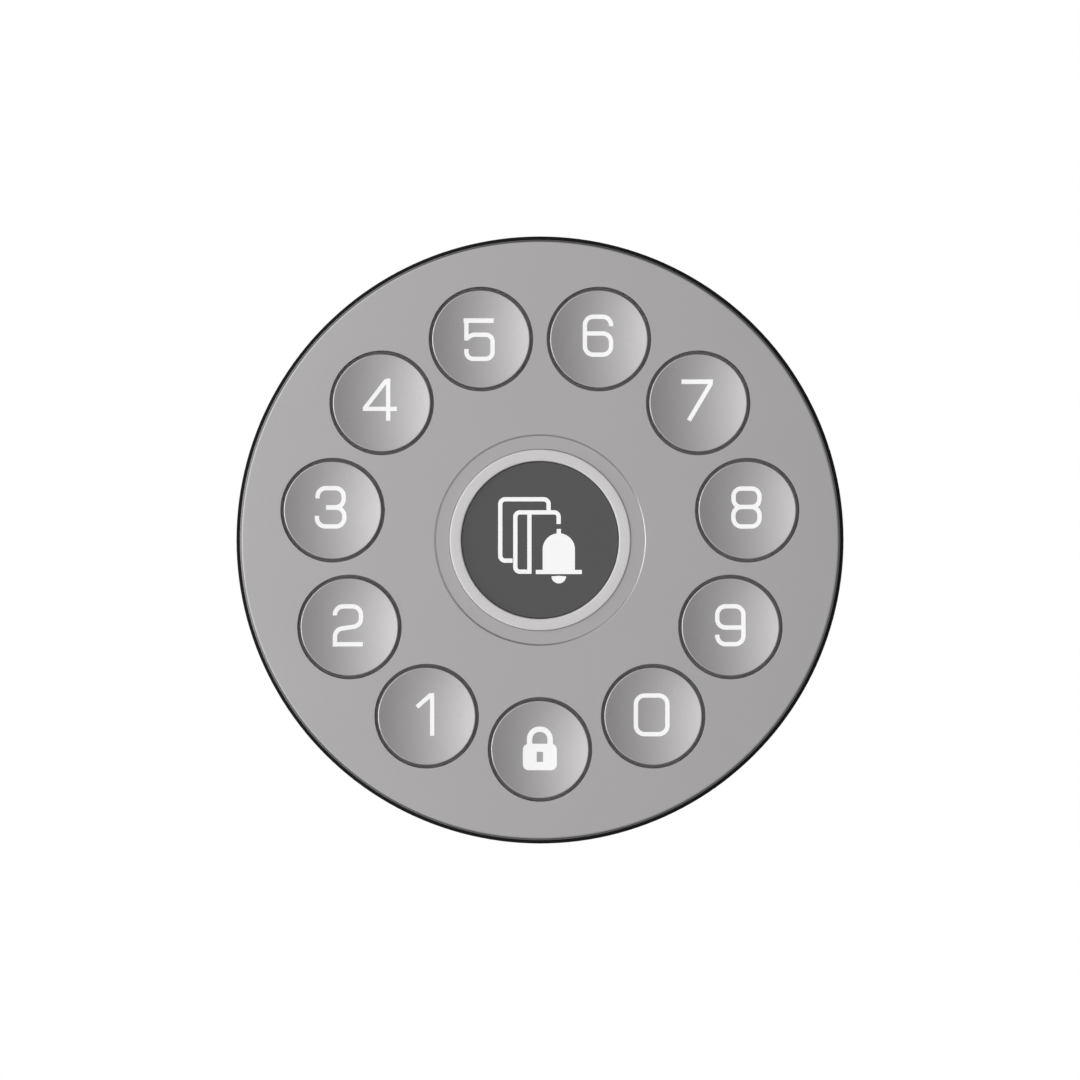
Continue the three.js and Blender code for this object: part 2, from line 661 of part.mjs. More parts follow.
place("key_mat", keyMat(), MATERIALS.silicone);
place("dome_sheet", domeSheet(), MATERIALS.film);
place("main_board", mainBoard(), MATERIALS.board);
place("card_antenna", cardAntenna(), MATERIALS.copper);
place("ferrite_sheet", ferriteSheet(), MATERIALS.ferrite);
place("led_ring", ledRing(), MATERIALS.film);
place("bell_switch", bellSwitch(), MATERIALS.steel);
place("buzzer", buzzer(), MATERIALS.blackPlastic, [-FIXING.slotX, 0, 0]);
place("radio_module", boardBlock(10, 13, 2.1), MATERIALS.steel, [FIXING.slotX, 0, 0]);
place("tamper_sensor", boardBlock(8, 2.2, 2), MATERIALS.blackPlastic, [MAGNET.x, MAGNET.y, 0]);

housingScrewPlaces.forEach(([x, y], index) => {
  const screw = panScrew(1.9, FLOOR_BOTTOM + 0.1, 1.4, 1, FACE_BACK - 1.2);
  place(`housing_screw_${index + 1}`, screw, MATERIALS.steel, [x, y, 0]);
});
boardScrewPlaces.forEach(([x, y], index) => {
  const screw = panScrew(1.7, BOARD_BOTTOM - 1.05, 0.9, 0.9, FACE_BACK - 0.8);
  place(`board_screw_${index + 1}`, screw, MATERIALS.steel, [x, y, 0]);
});
place("clamp_screw", clampScrew(), MATERIALS.blackSteel);

// The key at the bottom locks the door; the digits run clockwise from it, 1 to 9 and then 0.
const KEY_NAMES = ["lock", "1", "2", "3", "4", "5", "6", "7", "8", "9", "0"];
KEY_NAMES.forEach((name, index) => {
  const position = [...keyPlaces[index], 0];
  place(`key_${name}`, keyCap(), MATERIALS.satinMetal, position);
  place(`key_plunger_${name}`, keyPlunger(), MATERIALS.silicone, position);
});

place("light_ring", lightRing(), MATERIALS.lightGuide);
place("centre_lens", centreLens(), MATERIALS.lens);
place("bell_plunger", bellPlunger(), MATERIALS.silicone);

lock.rotation.x = Math.PI / 2;

export default lock;
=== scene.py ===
"""Looks of a round smart lock keypad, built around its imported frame.

Pieces are drawn in the face frame, in millimetres: X to the right, Y up the wall and Z out of the wall
towards the person, with the wall at Z = 0. FACE_TO_FRAME turns and scales them into the frame's metres.
"""

import json
import logging
import math
from dataclasses import dataclass, field, replace
from enum import Enum
from typing import Any, Callable, Iterable, Sequence, Union

import bmesh
import bpy
from mathutils import Matrix, Vector


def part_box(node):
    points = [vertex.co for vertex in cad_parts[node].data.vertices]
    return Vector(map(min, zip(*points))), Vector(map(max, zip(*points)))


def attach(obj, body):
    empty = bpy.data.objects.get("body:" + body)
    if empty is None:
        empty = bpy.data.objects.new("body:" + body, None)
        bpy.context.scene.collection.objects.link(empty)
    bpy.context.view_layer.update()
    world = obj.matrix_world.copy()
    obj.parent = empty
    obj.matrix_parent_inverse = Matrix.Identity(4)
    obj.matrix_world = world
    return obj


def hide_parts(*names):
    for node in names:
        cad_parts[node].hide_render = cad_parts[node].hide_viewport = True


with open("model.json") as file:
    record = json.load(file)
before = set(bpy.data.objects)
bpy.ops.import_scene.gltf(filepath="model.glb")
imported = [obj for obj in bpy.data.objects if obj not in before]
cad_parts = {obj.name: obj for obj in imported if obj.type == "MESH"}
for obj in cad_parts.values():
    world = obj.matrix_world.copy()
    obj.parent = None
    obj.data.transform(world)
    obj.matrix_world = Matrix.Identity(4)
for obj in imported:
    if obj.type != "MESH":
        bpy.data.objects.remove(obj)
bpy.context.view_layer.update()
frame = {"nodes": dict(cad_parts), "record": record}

log = logging.getLogger("keypad")

Point = tuple[float, float]
Pair = tuple[float, float]
Shell = bmesh.types.BMesh
MM = 0.001
FACE_TO_FRAME = Matrix.Rotation(math.radians(90), 4, "X") @ Matrix.Scale(MM, 4)
SMOOTH_ANGLE = math.radians(32)
MERGE = 1e-4
FULL_TURN = math.tau
ORIGIN = (0, 0, 0)
UP = (0, 0, 1)

# How far a tool reaches past what it cuts, and how far joined shapes run into each other.
CLEAR = 1.0
OVERLAP = 0.2

# How far apart two faces are kept that mustn't lie in one plane.
SLIVER = 0.01


class Sides(Enum):
    """How many sides a round shape has."""

    BODY = 192
    BELL = 144
    KEY = 96
    SCREW = 40
    BORE = 24
    HEX = 6


@dataclass(frozen=True)
class Wire:
    """A shader socket whose arithmetic adds Math nodes."""

    tree: bpy.types.NodeTree
    socket: bpy.types.NodeSocket

    def _math(self, operation: str, first: "Term", second: "Term" = 0.0) -> "Wire":
        """Adds a Math node.

        Args:
            operation: the node's operation.
            first: the first value or link.
            second: the second value or link.

        Returns:
            The node's result.
        """
        node = self.tree.nodes.new("ShaderNodeMath")
        node.operation = operation
        plug(self.tree, node.inputs[0], first)
        plug(self.tree, node.inputs[1], second)
        return Wire(self.tree, node.outputs[0])

    def __add__(self, other: "Term") -> "Wire":
        """self + other."""
        return self._math("ADD", self, other)

    __radd__ = __add__

    def __sub__(self, other: "Term") -> "Wire":
        """self - other."""
        return self._math("SUBTRACT", self, other)

    def __rsub__(self, other: "Term") -> "Wire":
        """other - self."""
        return self._math("SUBTRACT", other, self)

    def __mul__(self, other: "Term") -> "Wire":
        """self * other."""
        return self._math("MULTIPLY", self, other)

    __rmul__ = __mul__

    def __truediv__(self, other: "Term") -> "Wire":
        """self / other."""
        return self._math("DIVIDE", self, other)

    def __neg__(self) -> "Wire":
        """The negative of self."""
        return self._math("MULTIPLY", self, -1.0)

    def __gt__(self, other: "Term") -> "Wire":
        """1 where self is over other, and 0 elsewhere."""
        return self._math("GREATER_THAN", self, other)

    def __lt__(self, other: "Term") -> "Wire":
        """1 where self is under other, and 0 elsewhere."""
        return self._math("LESS_THAN", self, other)

    def exp(self) -> "Wire":
        """e to the power of self."""
        return self._math("EXPONENT", self)

    def sin(self) -> "Wire":
        """The sine of self."""
        return self._math("SINE", self)

    def root(self) -> "Wire":
        """The square root of self."""
        return self._math("SQRT", self)

    def fraction(self) -> "Wire":
        """The fractional part of self."""
        return self._math("FRACT", self)

    def between(self, low: float, high: float) -> "Wire":
        """self, held between two numbers."""
        return self._math("MAXIMUM", self._math("MINIMUM", self, high), low)


Term = Union[Wire, float]
Colour = tuple[float, float, float]
Shade = Union[Wire, Colour]

# The sockets of a Mix node that mixes colours.
MIX_MASK, MIX_LOW, MIX_HIGH, MIX_RESULT = 0, 6, 7, 2


def plug(tree: bpy.types.NodeTree, socket: bpy.types.NodeSocket, term: Any) -> None:
    """Links a wire to a socket, or sets the socket's own value.

    Args:
        tree: the node tree.
        socket: the socket.
        term: a Wire or a value.
    """
    if isinstance(term, Wire):
        tree.links.new(term.socket, socket)
    else:
        socket.default_value = term


@dataclass(frozen=True)
class Shader:
    """A node tree with the few calls that the finishes need."""

    tree: bpy.types.NodeTree

    def node(self, kind: str, settings: dict | None = None, values: dict | None = None) -> bpy.types.Node:
        """Adds a node.

        Args:
            kind: the node's type.
            settings: the node's own properties, set first.
            values: input name or number to a value or a Wire.

        Returns:
            The node.
        """
        node = self.tree.nodes.new(kind)
        for name, value in (settings or {}).items():
            setattr(node, name, value)
        for name, value in (values or {}).items():
            plug(self.tree, node.inputs[name], value)
        return node

    def wire(self, kind: str, settings: dict | None = None, values: dict | None = None,
             output: Union[int, str] = 0) -> Wire:
        """Adds a node and returns one of its outputs.

        Args:
            kind: the node's type.
            settings: the node's own properties, set first.
            values: input name or number to a value or a Wire.
            output: name or number of the output.

        Returns:
            The output.
        """
        return Wire(self.tree, self.node(kind, settings, values).outputs[output])

    def place(self) -> Wire:
        """Object coordinates, in metres."""
        return self.wire("ShaderNodeTexCoord", output="Object")

    def axes(self) -> tuple[Wire, Wire, Wire]:
        """Object coordinates as x, y and z, in millimetres."""
        parts = self.node("ShaderNodeSeparateXYZ", values={0: self.place()})
        return tuple(Wire(self.tree, output) / MM for output in parts.outputs)

    def radius(self) -> Wire:
        """Distance from the unit's axis, in millimetres."""
        x, _, z = self.axes()
        return (x * x + z * z).root()

    def noise(self, grain_mm: float, detail: float = 2.0) -> Wire:
        """Noise about 0.5.

        Args:
            grain_mm: size of a grain in millimetres.
            detail: octaves.

        Returns:
            The noise's value.
        """
        values = {"Vector": self.place(), "Scale": 1 / (grain_mm * MM), "Detail": detail}
        return self.wire("ShaderNodeTexNoise", values=values)

    def mix(self, mask: Term, low: Shade, high: Shade) -> Wire:
        """Mixes two colours.

        Args:
            mask: 0 for low, 1 for high.
            low: a colour wire, or linear red, green and blue.
            high: a colour wire, or linear red, green and blue.

        Returns:
            The mixed colour.
        """
        values = {MIX_MASK: mask}
        for socket, shade in ((MIX_LOW, low), (MIX_HIGH, high)):
            values[socket] = shade if isinstance(shade, Wire) else (*shade, 1.0)
        return self.wire("ShaderNodeMix", {"data_type": "RGBA"}, values, output=MIX_RESULT)

    def bump(self, height: Wire, depth_mm: float) -> Wire:
        """A normal bent by a height.

        Args:
            height: from 0 to 1.
            depth_mm: height of 1, in millimetres.

        Returns:
            The normal.
        """
        values = {"Height": height, "Distance": depth_mm * MM, "Strength": 1.0}
        return self.wire("ShaderNodeBump", values=values)


@dataclass(frozen=True)
class Finish:
    """A plain surface: a colour that varies a little, with a fine grain in its gloss and its height."""

    name: str
    colour: Colour
    roughness: float
    metallic: float = 0.0
    specular: float = 0.5
    coat: float = 0.0
    grain_mm: float = 0.3
    mottle_mm: float = 9.0
    variation: float = 0.05
    grain_depth_mm: float = 0.004
    subsurface: float = 0.0
    # How strongly a surface glows though it is no lamp: painted light.
    glow: float = 0.0
    octaves: float = 3.0
    mottle_share: float = 0.7
    gloss_grains: float = 4.0
    gloss_spread: float = 0.12
    glossiest: float = 0.03
    coat_roughness: float = 0.08

    def tint(self, paint: Shader) -> Wire:
        """The colour over the surface: the base, mottled a little.

        Args:
            paint: the material's nodes.

        Returns:
            The colour.
        """
        coarse = paint.noise(self.mottle_mm, self.octaves) * self.mottle_share
        mottle = coarse + paint.noise(self.grain_mm) * (1 - self.mottle_share)
        ends = [tuple(channel * (1 + side * self.variation) for channel in self.colour) for side in (-1, 1)]
        return paint.mix(mottle, *ends)

    def gloss(self, paint: Shader) -> Wire:
        """The roughness over the surface."""
        grain = paint.noise(self.grain_mm * self.gloss_grains) - 0.5
        return (self.roughness + grain * self.gloss_spread).between(self.glossiest, 1.0)

    def relief(self, paint: Shader) -> Wire:
        """The height over the surface, from 0 to 1."""
        return paint.noise(self.grain_mm, self.octaves)

    def metal(self, paint: Shader) -> Term:
        """How metallic the surface is."""
        return self.metallic

    def material(self) -> bpy.types.Material:
        """Makes the material, or finds it where it is made already.

        Returns:
            The material.
        """
        known = bpy.data.materials.get(self.name)
        if known:
            return known
        material = bpy.data.materials.new(self.name)
        material.use_nodes = True
        paint = Shader(material.node_tree)
        sockets = material.node_tree.nodes["Principled BSDF"].inputs
        for name, term in {
            "Specular IOR Level": self.specular,
            "Coat Weight": self.coat,
            "Coat Roughness": self.coat_roughness,
            "Subsurface Weight": self.subsurface,
            "Subsurface Scale": MM,
            "Subsurface Radius": (1.0, 1.0, 1.0),
            "Emission Color": (1.0, 1.0, 1.0, 1.0),
            "Emission Strength": self.glow,
            "Metallic": self.metal(paint),
            "Base Color": self.tint(paint),
            "Roughness": self.gloss(paint),
            "Normal": paint.bump(self.relief(paint), self.grain_depth_mm),
        }.items():
            plug(paint.tree, sockets[name], term)
        return material


@dataclass(frozen=True)
class FacePaint(Finish):
    """Metallic paint on the front, with bare light-grey walls in the key holes and painted shade at the rim:
    a dark band where the rounded edge turns away from the light.
    """

    rim_radius_mm: float = 39.16
    keys_radius_mm: float = 16.0
    wall_height_mm: float = 23.5
    # Painted shade: the dark colour of the band at the rim, standing in for the dark reflection of its
    # rounded edge.
    painted_rim_shade_colour: Colour = (0.098, 0.096, 0.097)
    wall_base: Colour = (0.64, 0.63, 0.635)
    fade: float = 20.0

    def painted_rim_shade(self, paint: Shader) -> Wire:
        """Where the rim's painted shade goes: 1 outside the rim's radius, and 0 inside it."""
        return ((paint.radius() - self.rim_radius_mm) * self.fade).between(0.0, 1.0)

    def bare_wall(self, paint: Shader) -> Wire:
        """1 below the painted height round the keys, and 0 elsewhere."""
        below = ((paint.axes()[1] + self.wall_height_mm) * self.fade).between(0.0, 1.0)
        return below * (paint.radius() > self.keys_radius_mm)

    def tint(self, paint: Shader) -> Wire:
        """The paint, with the walls bare and the rim darkened by painted shade."""
        walls = paint.mix(self.bare_wall(paint), super().tint(paint), self.wall_base)
        return paint.mix(self.painted_rim_shade(paint), walls, self.painted_rim_shade_colour)

    def metal(self, paint: Shader) -> Wire:
        """Only the painted front is metallic; the bare walls and the rim's painted shade are not."""
        return (1 - self.painted_rim_shade(paint)) * (1 - self.bare_wall(paint)) * self.metallic


@dataclass(frozen=True)
class KeyPaint(Finish):
    """Metallic paint on a key's top, with its moulded skirt left bare below."""

    attribute: str = "skirt"
    bare: Colour = (0.64, 0.63, 0.635)

    def skirt(self, paint: Shader) -> Wire:
        """1 on the skirt, and 0 on the top."""
        return paint.wire("ShaderNodeAttribute", {"attribute_name": self.attribute}, output="Fac")

    def tint(self, paint: Shader) -> Wire:
        """The paint, with the skirt in its own colour."""
        return paint.mix(self.skirt(paint), super().tint(paint), self.bare)

    def metal(self, paint: Shader) -> Wire:
        """Only the painted top is metallic."""
        return (1 - self.skirt(paint)) * self.metallic


@dataclass(frozen=True)
class WoundCopper(Finish):
    """An enamelled winding: round turns about the unit's axis."""

    pitch_mm: float = 0.32

    def relief(self, paint: Shader) -> Wire:
        """Each turn is a rounded ridge."""
        return (paint.radius() * (FULL_TURN / self.pitch_mm)).sin() * 0.5 + 0.5


@dataclass(frozen=True)
class CircuitBoard(Finish):
    """Solder mask over a net of tracks, with tinned pads."""

    track_mm: float = 1.6
    track_share: float = 0.4
    track_height: float = 0.8
    track_lift: float = 1.5
    slant: float = 0.5
    wander_mm: float = 6.0
    wander: float = 2.0
    pad_pitch_mm: float = 2.4
    pad_scatter: float = 0.35
    pad_size: float = 0.16
    pad_colour: Colour = (0.55, 0.5, 0.38)

    def _pads(self, paint: Shader) -> Wire:
        """1 on a pad, and 0 elsewhere."""
        values = {"Vector": paint.place(), "Scale": 1 / (self.pad_pitch_mm * MM),
                  "Randomness": self.pad_scatter}
        return paint.wire("ShaderNodeTexVoronoi", {"feature": "F1"}, values, "Distance") < self.pad_size

    def _tracks(self, paint: Shader) -> Wire:
        """1 on a track, and 0 elsewhere.

        Args:
            paint: the material's nodes.

        Returns:
            The mask.
        """
        x, _, z = paint.axes()
        wander = (paint.noise(self.wander_mm) - 0.5) * self.wander
        return ((x + z * self.slant) / self.track_mm + wander).fraction() < self.track_share

    def tint(self, paint: Shader) -> Wire:
        """Green mask, lighter over the tracks, with bare pads.

        Args:
            paint: the material's nodes.

        Returns:
            The colour.
        """
        lighter = tuple(channel * self.track_lift for channel in self.colour)
        mask = paint.mix(self._tracks(paint), self.colour, lighter)
        return paint.mix(self._pads(paint), mask, self.pad_colour)

    def metal(self, paint: Shader) -> Wire:
        """Only the pads are metal."""
        return self._pads(paint)

    def relief(self, paint: Shader) -> Wire:
        """Tracks stand up under the mask."""
        return self._tracks(paint) * self.track_height


@dataclass(frozen=True)
class CellSleeve(Finish):
    """A cell's sleeve: steel ends, a light band near each end, and a dark sleeve between."""

    steel: Colour = (0.5, 0.5, 0.52)
    band: Colour = (0.5, 0.36, 0.1)
    band_from_mm: float = 14.0
    sleeve_half_mm: float = 20.0

    def _from_middle(self, paint: Shader) -> Wire:
        """Distance along the cell from its middle, in millimetres."""
        height = paint.axes()[2]
        return (height * height).root()

    def tint(self, paint: Shader) -> Wire:
        """Steel past the sleeve's ends, and a band near each end of it."""
        body = paint.mix(self._from_middle(paint) > self.band_from_mm, self.colour, self.band)
        return paint.mix(self.metal(paint), body, self.steel)

    def metal(self, paint: Shader) -> Wire:
        """Only the bare ends are metal."""
        return self._from_middle(paint) > self.sleeve_half_mm


FACE_PAINT = FacePaint("face_paint", (0.497, 0.479, 0.486), 0.34, metallic=0.85, grain_mm=0.12,
                       variation=0.02, grain_depth_mm=0.001)
KEY_PAINT = KeyPaint("key_paint", (0.487, 0.471, 0.477), 0.3, metallic=0.9, grain_mm=0.12,
                     variation=0.015, grain_depth_mm=0.0003)
# The legends' ink glows a little: painted light that makes the print brighter.
INK = Finish("legend_ink", (0.93, 0.925, 0.93), 0.5, specular=0.3, variation=0.01, grain_depth_mm=0.001,
             glow=0.22)
HOUSING_BLACK = Finish("housing_black", (0.006, 0.006, 0.0062), 0.42, specular=0.17, grain_mm=0.16,
                       variation=0.15, grain_depth_mm=0.012)
MOULDED_BLACK = Finish("moulded_black", (0.024, 0.024, 0.025), 0.55, specular=0.4, grain_mm=0.3,
                       mottle_mm=5.0, variation=0.18, grain_depth_mm=0.05)
MILKY_GUIDE = Finish("milky_guide", (0.765, 0.742, 0.75), 0.42, specular=0.4, grain_mm=0.5,
                     variation=0.015, grain_depth_mm=0.002, subsurface=0.15)
SMOKED_LENS = Finish("smoked_lens", (0.056, 0.052, 0.054), 0.3, specular=0.2, coat=0.1,
                     variation=0.04, grain_depth_mm=0.001)
SILICONE = Finish("silicone", (0.025, 0.025, 0.028), 0.75, grain_mm=0.4, variation=0.1, grain_depth_mm=0.01)
FOAM = Finish("closed_cell_foam", (0.014, 0.014, 0.014), 0.95, grain_mm=0.35, variation=0.3,
              grain_depth_mm=0.08)
NICKEL = Finish("nickel_plate", (0.56, 0.53, 0.47), 0.28, metallic=1.0, variation=0.06)
ZINC_STEEL = Finish("zinc_steel", (0.46, 0.47, 0.48), 0.32, metallic=1.0, grain_mm=0.2, variation=0.08)
BLACK_STEEL = Finish("black_steel", (0.035, 0.035, 0.038), 0.38, metallic=1.0, grain_mm=0.2, variation=0.1)
POLYESTER_FILM = Finish("polyester_film", (0.66, 0.64, 0.56), 0.35, variation=0.03, grain_depth_mm=0.002)
FERRITE = Finish("ferrite", (0.045, 0.042, 0.039), 0.7, grain_mm=0.2, variation=0.15)
WINDING = WoundCopper("wound_copper", (0.6, 0.27, 0.12), 0.3, metallic=1.0, grain_depth_mm=0.1)
BOARD = CircuitBoard("circuit_board", (0.014, 0.075, 0.036), 0.35, coat=0.3, grain_depth_mm=0.03)
PALE_FLOOR = Finish("pale_floor", (0.82, 0.82, 0.82), 0.8, variation=0.01, mottle_mm=200.0, grain_mm=4.0)
SLEEVE = CellSleeve("cell_sleeve", (0.02, 0.03, 0.06), 0.3, coat=0.4)

# The finish of every frame node that stays, by its material slot.
SLOT_FINISHES = {
    "black_plastic": MOULDED_BLACK,
    "face_finish": FACE_PAINT,
    "key_finish": KEY_PAINT,
    "silicone": SILICONE,
    "foam": FOAM,
    "light_guide": MILKY_GUIDE,
    "smoked_lens": SMOKED_LENS,
    "nickel": NICKEL,
    "steel": ZINC_STEEL,
    "black_steel": BLACK_STEEL,
    "cell_wrap": SLEEVE,
    "film": POLYESTER_FILM,
    "board": BOARD,
    "copper": WINDING,
    "ferrite": FERRITE,
}


def turned(points: Sequence[Point], sides: Sides, closed: bool = False) -> Shell:
    """Spins an outline about Z.

    Args:
        points: radius and height of each point, ending on the axis unless the outline is closed.
        sides: how many sides the round shape has.
        closed: whether the last point joins the first.

    Returns:
        A closed shell.
    """
    bm = bmesh.new()
    verts = [bm.verts.new((radius, 0.0, height)) for radius, height in points]
    following = verts[1:] + (verts[:1] if closed else [])
    edges = [bm.edges.new(pair) for pair in zip(verts, following)]
    bmesh.ops.spin(bm, geom=verts + edges, cent=ORIGIN, axis=UP, angle=FULL_TURN, steps=sides.value,
                   use_merge=True)
    bmesh.ops.remove_doubles(bm, verts=bm.verts, dist=MERGE)
    bmesh.ops.recalc_face_normals(bm, faces=bm.faces)
    return bm


def soften(bm: Shell, width: float, segments: int,
           where: Callable[[Vector], bool] = lambda middle: True) -> Shell:
    """Rounds the sharp edges of a shell.

    Args:
        bm: the shell.
        width: width of the rounding.
        segments: how many faces make it.
        where: whether an edge with this middle point is rounded.

    Returns:
        The same shell.
    """
    sharp = [
        edge for edge in bm.edges
        if len(edge.link_faces) == 2 and edge.calc_face_angle() > SMOOTH_ANGLE
        and where((edge.verts[0].co + edge.verts[1].co) / 2)
    ]
    bmesh.ops.bevel(bm, geom=sharp, offset=width, offset_type="OFFSET", segments=segments, profile=0.5,
                    affect="EDGES", clamp_overlap=True, material=-1)
    return bm


def quarter_turn(steps: int) -> list[float]:
    """Angles from 0 to a quarter of a turn."""
    return [FULL_TURN / 4 * step / steps for step in range(steps + 1)]


def moved(bm: Shell, x: float, y: float, z: float = 0.0) -> Shell:
    """The same shell, moved."""
    bmesh.ops.translate(bm, vec=(x, y, z), verts=bm.verts)
    return bm


def laid(bm: Shell, level: float) -> Shell:
    """The same shell, turned from Z to lie along Y, and raised."""
    bmesh.ops.rotate(bm, cent=ORIGIN, matrix=Matrix.Rotation(FULL_TURN / 4, 3, "X"), verts=bm.verts)
    return moved(bm, 0, 0, level)


def joined(shells: Iterable[Shell]) -> Shell:
    """Puts shells into one bmesh.

    Args:
        shells: the shells, which are used up.

    Returns:
        One bmesh that holds them all.
    """
    whole = bmesh.new()
    for shell in shells:
        carrier = bpy.data.meshes.new("carrier")
        shell.to_mesh(carrier)
        shell.free()
        whole.from_mesh(carrier)
        bpy.data.meshes.remove(carrier)
    return whole


def block(low: Sequence[float], high: Sequence[float]) -> Shell:
    """A block between two corners.

    Args:
        low: its lowest corner.
        high: its highest corner.

    Returns:
        A closed shell.
    """
    bm = bmesh.new()
    size = Vector(high) - Vector(low)
    middle = (Vector(high) + Vector(low)) / 2
    bmesh.ops.create_cube(bm, size=1.0, matrix=Matrix.Translation(middle) @ Matrix.Diagonal((*size, 1.0)))
    return bm


def rod(radius: float, bottom: float, top: float, centre: Point = (0, 0),
        sides: Sides = Sides.SCREW, top_radius: float | None = None) -> Shell:
    """A rod along Z.

    Args:
        radius: its radius at the bottom.
        bottom: height of its bottom.
        top: height of its top.
        centre: x and y of its axis.
        sides: how many sides it has.
        top_radius: its radius at the top, where that differs.

    Returns:
        A closed shell.
    """
    bm = bmesh.new()
    matrix = Matrix.Translation((*centre, (bottom + top) / 2))
    bmesh.ops.create_cone(bm, cap_ends=True, segments=sides.value, radius1=radius,
                          radius2=top_radius or radius, depth=top - bottom, matrix=matrix)
    return bm


def rods_at(nodes: Iterable[str], radius: float, bottom: float, top: float,
            sides: Sides = Sides.SCREW) -> list[Shell]:
    """A rod at each node's middle."""
    return [rod(radius, bottom, top, centre_of(node), sides) for node in nodes]


def flat_ring(inner: float, outer: float, bottom: float, top: float, edge: float) -> Shell:
    """A flat ring with rounded edges."""
    outline = [(inner, bottom), (outer, bottom), (outer, top), (inner, top)]
    return soften(turned(outline, Sides.BODY, closed=True), edge, segments=3)


# How many steps a ring's sector is turned in.
SECTOR_STEPS = 12


def ring_sector(inner: float, outer: float, start: float, stop: float, bottom: float,
                top: float) -> Shell:
    """A sector of a ring.

    Args:
        inner: its inner radius.
        outer: its outer radius.
        start: its first angle, in degrees.
        stop: its last angle, in degrees.
        bottom: height of its bottom.
        top: height of its top.

    Returns:
        A closed shell.
    """
    bm = bmesh.new()
    corners = [(inner, bottom), (outer, bottom), (outer, top), (inner, top)]
    face = bm.faces.new([bm.verts.new((radius, 0, height)) for radius, height in corners])
    turn = Matrix.Rotation(math.radians(start), 3, "Z")
    bmesh.ops.rotate(bm, cent=ORIGIN, matrix=turn, verts=bm.verts)
    bmesh.ops.spin(bm, geom=[face, *face.edges, *face.verts], cent=ORIGIN, axis=UP,
                   angle=math.radians(stop - start), steps=SECTOR_STEPS)
    bmesh.ops.recalc_face_normals(bm, faces=bm.faces)
    return bm


class Cut(Enum):
    """What a boolean does with its tool."""

    OFF = "DIFFERENCE"
    WITH = "UNION"
    COMMON = "INTERSECT"


def combined(body: Shell, tool: Shell, cut: Cut) -> Shell:
    """Joins or cuts two shells, which are used up.

    Args:
        body: what is cut.
        tool: what cuts it.
        cut: what the tool does.

    Returns:
        The result.
    """
    pair = []
    for name, shell in (("body", body), ("tool", tool)):
        mesh = bpy.data.meshes.new(name)
        shell.to_mesh(mesh)
        shell.free()
        carrier = bpy.data.objects.new(name, mesh)
        bpy.context.scene.collection.objects.link(carrier)
        pair.append(carrier)
    modifier = pair[0].modifiers.new("cut", "BOOLEAN")
    modifier.object = pair[1]
    modifier.operation = cut.value
    modifier.solver = "EXACT"
    modifier.use_self = True
    bpy.context.view_layer.update()
    result = bmesh.new()
    result.from_object(pair[0], bpy.context.evaluated_depsgraph_get())
    for carrier in pair:
        mesh = carrier.data
        bpy.data.objects.remove(carrier)
        bpy.data.meshes.remove(mesh)
    bmesh.ops.remove_doubles(result, verts=result.verts, dist=MERGE)
    return result


# How strongly large faces lead the shading of the points that they share with small ones.
LARGE_FACES_LEAD = 100


@dataclass
class Piece:
    """A finished piece: its shell, its finish, the body it rides on and the node it stands for."""

    name: str
    shell: Shell
    finish: Finish
    slot: str
    body: str
    stands_for: tuple[str, ...] = ()
    marked: Callable[[Vector], bool] | None = None
    mark: str = "skirt"

    def mark_points(self) -> None:
        """Stores 1 at the marked points and 0 at the others, for the finish to read."""
        layer = self.shell.verts.layers.float.new(self.mark)
        for vert in self.shell.verts:
            vert[layer] = float(self.marked(vert.co))

    def place(self) -> bpy.types.Object:
        """Puts the piece into the frame.

        Returns:
            The piece's object.
        """
        if self.marked:
            self.mark_points()
        bmesh.ops.transform(self.shell, matrix=FACE_TO_FRAME, verts=self.shell.verts)
        mesh = bpy.data.meshes.new(self.name)
        self.shell.to_mesh(mesh)
        self.shell.free()
        mesh.shade_smooth()
        mesh.set_sharp_from_angle(angle=SMOOTH_ANGLE)
        piece = bpy.data.objects.new(self.name, mesh)
        bpy.context.scene.collection.objects.link(piece)
        weighted = piece.modifiers.new("flat_faces_stay_flat", "WEIGHTED_NORMAL")
        weighted.keep_sharp = True
        weighted.weight = LARGE_FACES_LEAD
        mesh.materials.append(self.finish.material())
        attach(piece, self.body)
        if self.stands_for:
            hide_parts(*self.stands_for)
        log.info("%s: %d faces on %s", self.name, len(mesh.polygons), self.body)
        return piece


# Widths of the pens, the finest turn of an arc, and the least distance between two points of a line.
PEN = 0.57
THIN = 0.55
PICTOGRAM_PEN = 0.56
ARC_STEP = math.radians(9)
NEAR = 1e-3

# How far a line's corner may draw out the pen's edge, as the least cosine.
LEAST_TURN = 0.5

# Each pen is this much taller than the last, so that no two end in one plane.
PEN_STEP = 0.02


